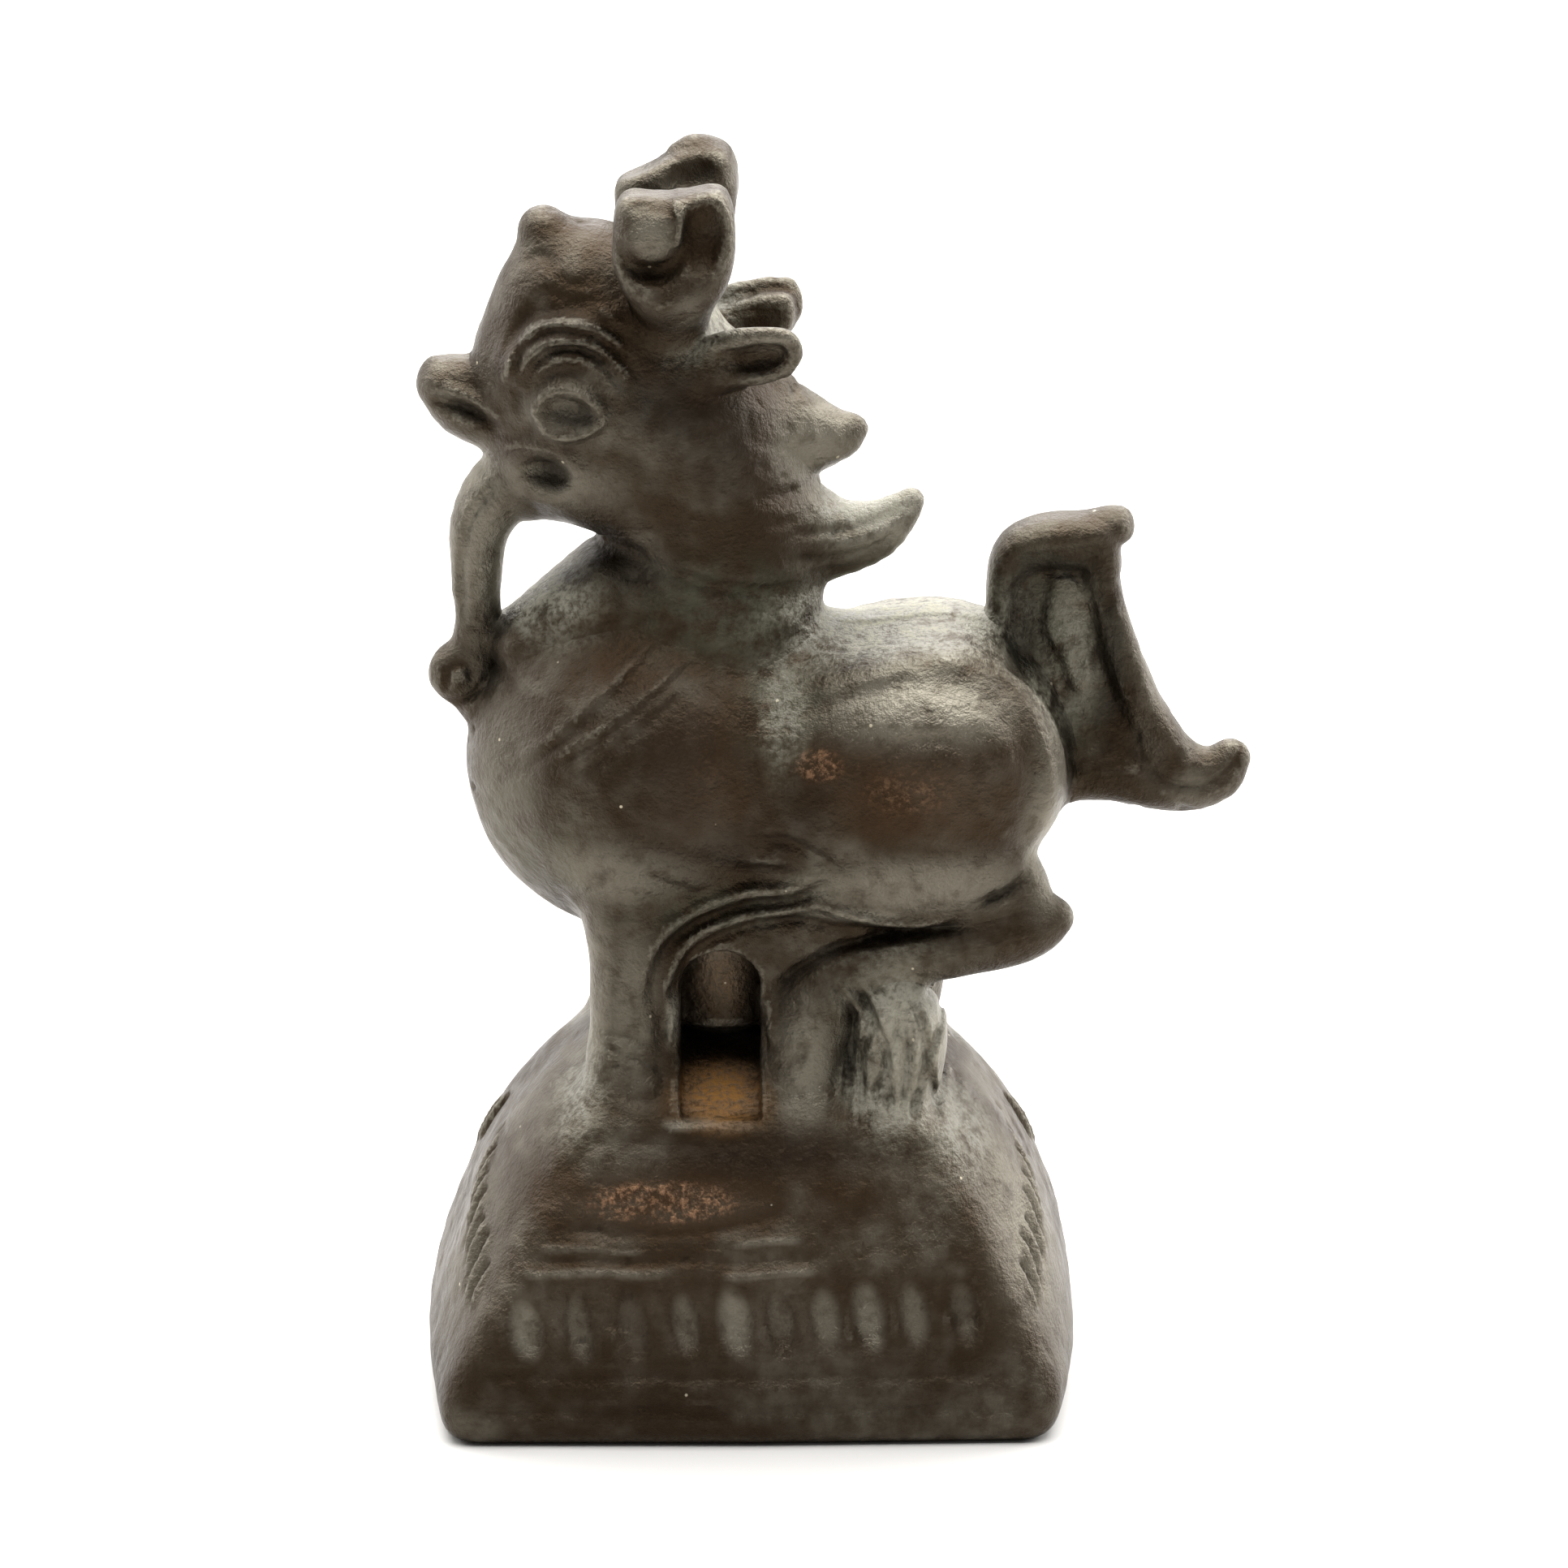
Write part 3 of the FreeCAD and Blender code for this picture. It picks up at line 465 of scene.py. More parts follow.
def niche(x, y, z):
    """The arched niche, whose back bulges forward above a dark pocket and whose floor slopes out."""
    along = x - NICHE_MIDDLE
    walls = np.abs(along) - NICHE_HALF
    round_top = np.sqrt(along ** 2 + np.maximum(z - NICHE_SPRING, 0.0) ** 2) - NICHE_HALF
    floor = 9.35 + 0.4 * np.clip(y + 4.6, 0.0, 3.5)
    shape = np.maximum(np.where(z > NICHE_SPRING, round_top, walls), floor - z)
    bulge = np.clip((z - 10.8) / 0.6, 0.0, 1.0)
    back = -1.15 - 1.35 * bulge * bulge * (3 - 2 * bulge) + 0.35 * along ** 2
    return np.maximum(shape, y - back)


def scoop_niches():
    """The rolls and grooves over the niche, the niche itself, and the raised lips at its sides."""
    over = [(-3.3, 13.1), (-2.9, 14.6), (-1.7, 15.6), (-0.3, 16.1), (1.1, 16.3), (2.0, 16.8)]
    wax.score(over, 0.26, -0.2, -5.6, -2.2)
    groove = [(-3.15, 12.6), (-2.75, 14.2), (-1.6, 15.15), (-0.3, 15.65), (1.1, 15.9), (2.1, 16.4)]
    wax.score(groove, 0.17, 0.15, -5.6, -1.8)
    roll = [(-2.65, 12.9), (-2.2, 14.1), (-1.5, 14.85), (-0.3, 15.3), (1.1, 15.55), (2.2, 15.9)]
    wax.score(roll, 0.16, -0.12, -5.6, -2.0)
    under = [(-2.5, 12.4), (-2.0, 13.8), (-1.2, 14.55), (0.0, 15.0), (1.1, 15.2), (2.0, 15.2)]
    wax.score(under, 0.16, 0.14, -5.6, -1.8)
    wax.scoop(Lump(niche, (-2.4, -6.0, 8.7), (0.5, -0.8, 14.5)), 0.15)
    wax.score([(-2.45, 12.7), (-2.4, 12.2), (-2.45, 11.5)], 0.15, -0.16, -5.4, -3.0, taper=False)
    wax.score([(0.5, 12.6), (0.5, 12.0), (0.55, 11.6)], 0.14, -0.14, -5.4, -3.0, taper=False)


def press_trunk():
    """Chest, belly and back, with hair lines on the shoulder."""
    wax.press("trunk", egg((-3.35, 0.0, 19.15), (5.25, 4.55, 5.35)), 0.5)
    back = [(-3.0, 0.0, 20.0, 4.1), (1.2, 0.0, 19.7, 4.0), (5.4, 0.0, 19.75, 3.95)]
    wax.press("trunk", rod(back, 1.04), 0.8)
    wax.press("trunk", egg((5.8, 0.0, 19.7), (4.0, 3.9, 4.0)), 0.8)
    wax.press("trunk", egg((-2.6, -2.9, 19.2), (3.6, 1.95, 3.5), -30), 1.4)
    wax.press("trunk", egg((1.4, -2.6, 18.0), (2.6, 1.9, 1.5), -14), 1.4)
    for hair in ([(-5.9, 20.1), (-3.7, 21.6), (-1.7, 23.1)],
                 [(-6.6, 20.0), (-4.3, 22.1), (-2.2, 23.9)],
                 [(-5.2, 20.0), (-3.5, 21.3), (-2.0, 22.4)]):
        wax.furrow(hair, (0.15, 0.08), (-0.15, 0.24), (0.14, 0.07), -5.8, -1.8)
    wax.score_each(-5.6, -2.0, [
        (0.2, 0.15, [(-3.5, 16.95), (-2.3, 16.4), (-1.4, 15.95)]),
        (0.18, 0.1, [(-1.5, 15.75), (-2.5, 15.5), (-3.3, 15.6)]),
        (0.26, 0.16, [(-4.6, 16.1), (-3.6, 15.85), (-2.7, 16.0)]),
        (0.4, 0.14, [(-4.6, 17.9), (-2.6, 17.5), (-0.8, 17.0), (0.9, 16.7)]),
    ])
    wax.score_each(-5.8, -2.0, [
        (0.22, 0.22, [(0.2, 18.0), (1.2, 17.9), (2.0, 17.4), (2.7, 16.8)]),
        (0.2, -0.12, [(-0.4, 17.3), (0.6, 17.3), (1.4, 17.0)]),
    ])
    wax.score([(1.0, 23.9), (0.6, 22.5), (0.3, 21.0), (0.4, 19.8)], 0.45, 0.14, -5.6, -2.0)


def press_thighs():
    """The oval haunch: a smooth boss in a low rolled rim that carries on into the flank below."""
    wax.press("thigh_left", egg((4.95, -2.85, 19.35), (4.15, 2.1, 3.6), -8), 1.2)
    flank = [(1.5, -2.5, 16.3, 1.3), (4.0, -2.75, 15.9, 1.35),
             (6.6, -2.65, 15.95, 1.3), (8.0, -2.6, 15.85, 0.95)]
    wax.press("thigh_left", rod(flank), 0.9)
    rim = [(2.3, 22.4), (3.9, 22.95), (5.4, 23.2), (6.9, 23.0),
           (8.1, 22.1), (8.75, 20.8), (8.95, 19.3), (8.6, 17.8)]
    wax.score(rim, 0.3, -0.15, -5.6, -1.6)
    inner = [(1.9, 21.9), (3.7, 22.4), (5.4, 22.5), (6.9, 22.1),
             (7.75, 21.2), (8.2, 20.0), (8.2, 18.6), (7.7, 17.2)]
    wax.score(inner, 0.26, 0.08, -6.2, -2.0)
    wax.score([(2.6, 23.3), (3.6, 23.6), (5.4, 23.8), (7.3, 23.3), (8.9, 22.2)], 0.2, 0.08, -5.0, -0.8)
    wax.score([(2.4, 20.7), (3.6, 20.5), (4.8, 21.1), (6.0, 21.0), (7.0, 20.3)], 0.2, 0.08, -6.2, -3.0)
    for number in range(5):
        wrinkle = [(3.0 + 0.8 * number, 21.5), (3.9 + 0.8 * number, 21.75 - 0.03 * number)]
        wax.score(wrinkle, 0.2, -0.06, -6.2, -2.6)
    wax.score([(6.6, 15.7), (7.3, 15.95), (8.1, 16.35)], 0.16, 0.3, -5.8, -2.0)


def press_forelegs():
    """A thick upper arm into a straight flat shin, with a scroll on the paw."""
    leg = [(-3.6, -2.5, 17.0, 1.9), (-3.6, -2.95, 15.2, 1.5), (-3.6, -3.15, 13.4, 1.28),
           (-3.65, -3.3, 11.6, 1.25), (-3.7, -3.5, 10.2, 1.32), (-3.7, -3.6, 9.5, 1.25)]
    wax.press("foreleg_left", rod(leg, 0.95), 0.6)
    for level, deep in ((11.95, 0.09), (11.45, 0.08), (11.0, 0.05)):
        fold = [(-4.6, level), (-3.9, level - 0.2), (-3.0, level - 0.45)]
        wax.furrow(fold, (0.13, deep), (0.0, -0.24), (0.12, 0.6 * deep), -6.0, -2.4)
    scroll = [(-4.4, 10.3), (-4.1, 10.85), (-3.4, 11.0), (-2.8, 10.7), (-2.7, 10.1),
              (-3.2, 9.85), (-3.7, 9.95), (-3.7, 10.35), (-3.3, 10.5)]
    wax.score(scroll, 0.14, 0.11, -6.2, -2.4)
    wax.score([(-2.95, 13.0), (-2.8, 12.0), (-2.75, 10.9)], 0.18, 0.11, -6.0, -2.4)


def press_hindlegs():
    """The shin lying from heel to knee, the flat shank down to the foot, and the rough tuft behind it."""
    leg = [(9.0, -2.8, 14.95, 0.68), (8.5, -2.8, 14.75, 0.92), (7.6, -2.9, 14.5, 1.05),
           (5.9, -3.0, 14.1, 1.0), (4.0, -3.1, 13.85, 1.0), (2.6, -3.2, 13.1, 1.1),
           (1.85, -3.35, 12.0, 1.2), (1.65, -3.45, 10.8, 1.22), (1.6, -3.5, 9.5, 1.2)]
    wax.press("hindleg_left", rod(leg), 0.5)
    crease = [(0.6, 12.7), (1.1, 13.4), (2.2, 14.15), (3.2, 14.5), (4.7, 14.75), (6.3, 14.95)]
    wax.score(crease, 0.18, 0.24, -6.0, -2.6)
    wax.score([(1.8, 15.8), (3.0, 15.45), (4.2, 15.15), (5.6, 15.15)], 0.17, -0.2, -6.0, -2.2)
    wax.score([(1.4, 15.15), (3.0, 14.95), (4.6, 14.95)], 0.16, 0.12, -6.0, -2.6)
    wax.score([(0.7, 10.7), (1.4, 11.3), (2.2, 11.5)], 0.18, 0.07, -6.0, -2.4)
    wax.score([(0.3, 9.4), (1.1, 9.95), (1.9, 10.3)], 0.2, 0.11, -6.2, -3.2)
    tuft = [(3.3, 12.8), (3.7, 13.2), (4.4, 13.35), (5.2, 13.0), (5.8, 12.1), (5.85, 10.8),
            (5.4, 9.4), (4.6, 9.0), (3.7, 9.0), (3.1, 9.8), (2.95, 11.1), (3.0, 12.0)]
    wax.press("tuft_left", leaf(tuft, -3.25, 1.5, 1.2), 0.4)
    for number in range(9):
        start = 2.5 + 0.42 * number
        sway = 0.2 * math.sin(number * 2.4)
        fibre = [(start - 0.2, 13.6 - 0.1 * number), (start + 0.5 + sway, 12.4),
                 (start + 0.45 - sway, 11.1), (start + 0.3 + sway, 9.3)]
        wax.furrow(fibre, (0.13, 0.14), (0.2, 0.0), (0.12, 0.1), -6.0, -1.6)
    for number in range(3):
        shift = 0.28 * number
        toe = [(2.45 + shift, 9.6), (2.5 + shift, 10.4), (2.75 + shift, 11.1), (3.1 + shift, 11.6)]
        wax.score(toe, 0.12, 0.12, -6.0, -3.0)


def press_neck():
    """The thick neck under the jaw, the slope of the chest up to it and the two locks of the mane."""
    throat = [(-1.4, 0.0, 22.0, 3.5), (-1.2, 0.0, 24.4, 3.35), (-1.1, 0.0, 26.4, 3.3),
              (-1.5, 0.0, 28.4, 3.1), (-2.0, 0.0, 30.2, 2.5)]
    wax.press("neck", rod(throat, 0.92), 0.5)
    chest = [(-7.0, 0.0, 22.9, 0.9), (-5.6, 0.0, 23.8, 1.15), (-4.3, 0.0, 24.6, 1.4)]
    wax.press("neck", rod(chest, 1.9), 0.5)
    upper = [(-1.4, 0.0, 30.2, 2.3), (0.1, 0.0, 29.6, 1.75), (1.4, 0.0, 29.2, 1.25),
             (2.4, 0.0, 29.15, 0.82), (3.0, 0.0, 29.38, 0.45)]
    wax.press("mane_upper", rod(upper, 0.95), 0.4)
    lower = [(-1.6, 0.0, 27.0, 2.6), (0.3, 0.0, 26.5, 2.0), (2.2, 0.0, 26.05, 1.28),
             (3.6, 0.0, 26.25, 0.9), (4.4, 0.0, 26.8, 0.58), (4.75, 0.0, 27.15, 0.38)]
    wax.press("mane_lower", rod(lower), 0.4)
    wax.score([(-4.3, 26.5), (-3.3, 25.9), (-2.3, 25.6), (-0.6, 25.2), (1.6, 24.9)], 0.3, 0.2, -4.2, -1.0)
    wax.score([(-3.8, 25.6), (-2.4, 25.0), (-0.6, 24.6), (1.4, 24.5)], 0.25, 0.1, -4.4, -1.0)
    wax.score([(1.2, 26.7), (2.4, 26.5), (3.5, 26.65), (4.5, 27.1)], 0.14, 0.12, -2.4, 0.0)
    wax.score_each(-2.4, -0.2, [
        (0.14, 0.12, [(1.0, 26.0), (2.2, 25.75), (3.6, 25.95), (4.5, 26.6)]),
        (0.13, 0.08, [(1.8, 25.35), (2.9, 25.4), (4.0, 26.0)]),
    ])
    wax.score([(-0.6, 29.9), (0.6, 29.4), (1.8, 28.6)], 0.2, 0.08, -2.6, -0.4)
    wax.score([(-0.2, 28.1), (0.8, 27.9), (1.9, 27.75)], 0.26, 0.18, -2.8, -0.2)
    wax.score([(-1.6, 30.2), (-0.8, 30.8), (0.4, 30.9), (1.2, 30.6)], 0.24, 0.12, -3.0, -0.4)


def eye_bed(x, y, z):
    """The oval inside the eye's rim, sunk a little."""
    along = x + 5.35
    up = z - 30.7 + 0.12 * along
    return 0.28 * np.exp(-((along / 0.58) ** 2 + (up / 0.4) ** 2) ** 2)


def press_head():
    """Skull, jaw, brows, the curled nose, the forehead's knob and the almond eye."""
    wax.press("head", egg((-4.4, 0.0, 31.0), (3.95, 3.0, 4.15), 12), 0.4)
    wax.press("head", egg((-5.05, 0.0, 33.6), (2.4, 2.1, 2.15)), 0.8)
    wax.press("head", egg((-4.4, 0.0, 28.3), (3.3, 2.55, 1.9), -10), 0.8)
    wax.press("head", egg((-2.2, -1.6, 29.2), (2.6, 1.5, 2.6)), 1.0)
    ridge = [(-4.4, -2.2, 33.2, 0.55), (-5.6, -2.35, 32.75, 0.6), (-6.9, -1.95, 31.9, 0.5)]
    wax.press("head", rod(ridge), 0.6)
    wax.press("knob", rod([(-5.9, 0.0, 34.9, 0.95), (-6.15, 0.0, 35.42, 0.78)], 1.1), 0.5)
    nose = [(-7.4, 0.0, 29.7, 1.05), (-8.5, 0.0, 30.15, 0.98), (-9.17, 0.0, 30.75, 0.76)]
    wax.press("snout", rod(nose, 1.2), 0.35)
    wax.press("snout", rod([(-8.0, 0.0, 30.95, 0.65), (-9.2, 0.0, 31.02, 0.58)], 1.5), 0.3)
    for brow in ([(-7.5, 31.2), (-7.25, 32.1), (-6.6, 33.2), (-5.7, 33.6), (-4.6, 33.45), (-3.6, 32.7)],
                 [(-7.0, 31.3), (-6.75, 32.3), (-6.1, 32.95), (-5.1, 33.1), (-4.3, 32.75), (-3.4, 31.8)],
                 [(-6.6, 31.6), (-6.1, 32.35), (-5.3, 32.6), (-4.5, 32.25), (-3.9, 31.5)]):
        wax.furrow(brow, (0.17, 0.15), (0.0, -0.28), (0.15, 0.12), -4.0, -0.9)
    wax.score([(-6.9, 33.1), (-6.1, 33.95), (-5.3, 33.9), (-4.2, 33.7)], 0.2, 0.12, -3.4, -0.6)
    wax.score_each(-2.4, -0.2, [
        (0.14, 0.16, [(-6.5, 34.8), (-6.15, 35.0), (-5.8, 34.8)]),
        (0.14, 0.18, [(-5.5, 34.45), (-5.2, 34.3), (-4.9, 34.35)]),
    ])
    wax.score_each(-2.2, -0.2, [
        (0.17, 0.3, [(-9.3, 30.5), (-8.6, 30.3), (-7.7, 29.9)]),
        (0.16, -0.16, [(-9.3, 30.95), (-8.5, 30.75), (-7.6, 30.3)]),
    ])
    wax.scoop(egg((-6.2, -2.6, 28.6), (0.85, 0.95, 0.5), -6), 0.3)
    wax.score_each(-3.8, -0.8, [
        (0.22, -0.16, [(-7.7, 29.1), (-6.8, 29.5), (-5.7, 29.4), (-5.0, 28.7)]),
        (0.2, -0.1, [(-7.1, 27.9), (-6.3, 27.7), (-5.4, 27.7)]),
    ])
    wax.press("eye_left", egg((-5.35, -2.3, 30.7), (1.05, 0.8, 0.9), -8), 0.3)
    ring = ring_through([(-6.4, 30.65), (-6.15, 31.15), (-5.6, 31.45), (-5.0, 31.3), (-4.55, 30.95),
                         (-4.35, 30.6), (-4.75, 30.15), (-5.4, 29.9), (-6.1, 30.05)], 3)
    wax.score(list(ring) + [ring[0]], 0.2, -0.26, -4.2, -1.6, steps=1, taper=False)
    wax.stamp((-6.4, -4.2, 29.6), (-4.0, -1.6, 31.6), eye_bed)
    wax.score_each(-4.2, -1.4, [
        (0.3, 0.12, [(-3.4, 31.6), (-2.6, 31.0), (-2.2, 30.2)]),
        (0.3, 0.1, [(-3.9, 29.6), (-3.0, 29.0), (-2.3, 28.0)]),
    ])


def press_beard():
    """The strap from the mouth down to its curled knob on the chest."""
    strap = [(-6.3, 0.0, 28.0, 1.4), (-7.4, 0.0, 27.5, 1.1), (-8.1, 0.0, 26.4, 0.92),
             (-8.25, 0.0, 25.0, 0.78), (-8.25, 0.0, 23.6, 0.68), (-8.4, 0.0, 22.6, 0.65)]
    wax.press("beard", rod(strap, 1.15), 0.4)
    wax.press("beard", egg((-8.75, 0.0, 21.85), (0.98, 0.9, 1.0)), 0.3)
    wax.press("beard", egg((-8.1, -0.1, 21.0), (0.8, 0.95, 0.7)), 0.4)
    wax.score([(-7.6, 28.0), (-8.4, 26.7), (-8.65, 25.2), (-8.6, 23.6)], 0.13, 0.13, -1.7, -0.25)
    curl = [(-9.2, 21.5), (-9.1, 22.1), (-8.6, 22.25), (-8.4, 21.8), (-8.7, 21.6)]
    wax.score(curl, 0.11, 0.15, -1.6, -0.2)
    wax.score([(-8.9, 21.1), (-8.4, 21.3), (-8.0, 21.7)], 0.12, 0.18, -1.8, -0.2)


def press_horns():
    """A cupped volute: a stem, a round rim, hollows in it and the curled tip that they leave."""
    stem = [(-2.4, -1.6, 32.0, 1.1), (-2.3, -2.1, 33.3, 1.05), (-2.3, -2.7, 34.5, 1.3)]
    wax.press("horn_left", rod(stem, 0.9), 0.6)
    cup = [(-2.6, 33.4), (-3.5, 34.1), (-4.0, 35.0), (-4.05, 36.0), (-3.95, 36.9), (-3.5, 37.3),
           (-2.3, 37.2), (-1.1, 37.4), (-0.6, 37.0), (-0.45, 35.8), (-0.75, 34.5), (-1.7, 33.5)]
    wax.press("horn_left", leaf(cup, -2.75, 1.1, 0.75), 0.35)
    wax.scoop(egg((-1.4, -4.0, 36.2), (0.74, 0.75, 1.15), -6), 0.25)
    hollow = [(-3.75, -4.05, 35.7, 0.3), (-3.4, -4.05, 35.25, 0.42), (-2.85, -4.05, 35.1, 0.46),
              (-2.3, -4.05, 35.3, 0.36), (-2.0, -4.05, 35.7, 0.3)]
    wax.scoop(rod(hollow, 1.5), 0.2)
    wax.scoop(rod([(-3.3, -4.0, 37.0, 0.16), (-2.6, -4.0, 36.95, 0.16)], 2.4), 0.15)
    wax.press("pearl_left", egg((-3.0, -3.2, 36.15), (0.9, 0.85, 0.9), 20), 0.2)
    wax.score([(-2.1, 37.1), (-2.05, 36.6), (-2.15, 36.0)], 0.14, -0.16, -4.4, -2.2, taper=False)
    wax.score([(-3.4, 34.5), (-2.6, 34.2), (-1.6, 34.5)], 0.3, -0.14, -4.4, -2.2)


def press_ears():
    """A cupped leaf that stands back from behind the eye, with a thin raised upper edge."""
    outline = [(-1.8, 32.0), (-1.2, 32.45), (-0.4, 32.75), (0.5, 32.95), (1.1, 32.9),
               (1.3, 32.4), (1.1, 31.8), (0.5, 31.45), (-0.5, 31.35), (-1.5, 31.5)]
    wax.press("ear_left", leaf(outline, -2.35, 0.45, 0.32), 0.5)
    wax.press("ear_left", rod([(-2.6, -2.0, 31.6, 0.7), (-1.2, -2.2, 31.8, 0.6)]), 0.5)
    wax.scoop(egg((0.2, -3.1, 32.2), (1.0, 0.6, 0.42), 10), 0.2)
    edge = [(-1.7, -2.4, 32.3, 0.3), (-0.7, -2.75, 32.8, 0.3), (0.4, -2.95, 33.0, 0.28),
            (1.05, -2.9, 32.9, 0.3), (1.25, -2.75, 32.4, 0.28), (1.0, -2.55, 31.9, 0.25)]
    wax.press("ear_left", rod(edge), 0.2)


def press_tail():
    """The upright leaf with its rolled rim, the hook at its foot and the curl at its top."""
    blade = [(9.6, 17.9), (8.2, 19.8), (7.4, 22.0), (7.15, 24.0), (7.2, 25.2), (7.55, 25.95),
             (8.2, 26.4), (9.1, 26.6), (10.0, 26.6), (10.7, 26.0), (10.9, 24.9), (11.2, 23.6),
             (11.65, 22.3), (12.1, 21.0), (12.7, 19.9), (12.9, 18.6), (12.0, 17.9), (10.8, 18.1)]
    wax.press("tail_blade", leaf(blade, 0.0, 0.78, 0.4), 0.4)
    rim = [(7.35, 0.0, 22.6, 0.2), (7.32, 0.0, 23.8, 0.26), (7.42, 0.0, 24.9, 0.34),
           (7.8, 0.0, 25.8, 0.46), (8.7, 0.0, 26.15, 0.52), (9.7, 0.0, 26.2, 0.5),
           (10.4, 0.0, 26.25, 0.48), (10.62, 0.0, 25.4, 0.36), (10.65, 0.0, 24.6, 0.32),
           (10.95, 0.0, 23.5, 0.32), (11.4, 0.0, 22.2, 0.32), (11.85, 0.0, 21.0, 0.35),
           (12.4, 0.0, 19.95, 0.42), (13.0, 0.0, 19.2, 0.4)]
    wax.press("tail_blade", rod(rim, 2.1), 0.3)
    curl = [(9.9, 0.0, 26.2, 0.52), (10.5, 0.0, 26.45, 0.5), (10.85, 0.0, 26.4, 0.56)]
    wax.press("tail_curl", rod(curl, 1.3), 0.2)
    hook = [(10.2, 0.0, 18.9, 0.85), (11.6, 0.0, 18.6, 0.95), (12.9, 0.0, 18.42, 0.98),
            (13.9, 0.0, 18.62, 0.85), (14.4, 0.0, 19.12, 0.63)]
    wax.press("tail_hook", rod(hook, 0.95), 0.5)
    wax.stamp((6.8, -2.6, 18.4), (13.0, 0.0, 26.2), tail_panel)
    foot = [(11.2, 19.7), (12.0, 18.95), (12.8, 18.5), (13.8, 18.55), (14.5, 19.1), (14.7, 19.5)]
    wax.score(foot, 0.14, 0.16, -2.0, -0.3)


def tail_panel(x, y, z):
    """The sunk panel inside the tail's rim, with a crust of old mould dust in its middle."""
    edge = ring_through([(7.6, 24.6), (8.3, 25.35), (9.3, 25.45), (10.05, 25.3), (10.25, 24.5),
                         (10.55, 23.2), (11.0, 21.8), (11.5, 20.5), (12.1, 19.3), (11.0, 18.7),
                         (9.4, 19.0), (8.0, 20.4), (7.5, 22.6)], 3)
    crust = ring_through([(8.8, 25.0), (9.6, 25.0), (10.1, 24.3), (10.2, 23.1), (10.3, 21.6),
                          (9.6, 21.2), (9.1, 22.4), (8.6, 23.2), (8.7, 24.3)], 3)
    sunk = np.clip(-flat_distance(x, z, edge) / 0.4, 0.0, 1.0) * np.clip((z - 18.9) / 2.2, 0.0, 1.0)
    raised = np.clip(-flat_distance(x, z, crust) / 0.25, 0.0, 1.0)
    return 0.42 * sunk - 0.16 * raised


# Soft spots of wear, dust, bloom and soot, some of them also painted shade, highlights and sheen as noted:
# middle, reach along each axis and strength, in millimetres.
# Warm wear spots, partly painted light: the one on the pedestal's long face 7 mm up is a painted copper
# sheen, and the one under the niche's arch is painted reflected light.
RUBBED_AND_SHEEN_SPOTS = (
    ((-1.4, -4.6, 20.0), (2.2, 2.2, 2.4), 0.75), ((4.6, -5.0, 19.6), (3.3, 2.4, 1.7), 0.8),
    ((-2.7, -6.6, 7.2), (3.8, 2.0, 1.0), 1.0), ((-1.0, -7.6, 4.8), (7.5, 1.8, 2.8), 0.3),
    ((-3.6, -3.4, 23.4), (2.2, 2.0, 1.2), 0.55), ((2.6, -6.2, 7.8), (3.0, 1.6, 1.6), 0.35),
    ((2.0, -4.4, 20.3), (1.2, 2.0, 0.8), 1.0), ((-0.9, -2.6, 12.9), (1.1, 1.6, 1.1), 0.6),
)
DUSTY = (
    ((3.6, -0.5, 24.0), (4.4, 3.0, 1.5), 1.0), ((0.9, -4.0, 21.8), (0.7, 2.0, 2.0), 0.4),
    ((9.5, 0.0, 22.6), (0.9, 2.2, 2.2), 0.6), ((2.2, -1.0, 24.2), (1.8, 3.2, 1.2), 0.9),
    ((-1.4, 0.0, 32.8), (1.4, 3.4, 1.0), 0.8), ((3.4, 0.0, 26.9), (2.2, 2.0, 0.8), 0.75),
    ((4.5, -4.4, 11.4), (1.9, 2.4, 2.6), 0.8), ((-5.8, 0.0, 24.4), (1.8, 3.0, 1.2), 0.9),
    ((-5.4, -4.8, 10.8), (0.9, 3.2, 2.0), 0.6), ((6.6, -4.6, 9.8), (1.5, 2.6, 2.4), 0.5),
    ((1.9, -4.4, 16.5), (0.8, 1.6, 0.5), 0.5), ((8.7, -1.8, 20.8), (0.7, 1.6, 2.0), 0.5),
)
GREENISH = (
    ((-0.6, -3.2, 24.6), (3.0, 1.8, 1.4), 0.8), ((0.8, -3.8, 22.0), (1.4, 1.8, 1.8), 0.5),
    ((-1.2, -4.0, 15.6), (2.6, 2.0, 0.8), 0.4), ((8.6, -0.9, 22.4), (2.2, 0.9, 3.4), 0.7),
    ((-6.6, -3.0, 17.4), (2.0, 3.0, 1.8), 0.4),
)
# Ochre in the niche: golden brown on its floor, painted brighter where light falls on it, and a faint touch
# under its arch as painted reflected light.
LIT_OCHRE_SPOTS = (
    ((-0.95, -3.8, 9.75), (1.25, 2.2, 0.7), 1.0), ((-0.95, -2.6, 13.0), (1.1, 0.9, 1.0), 0.15),
)
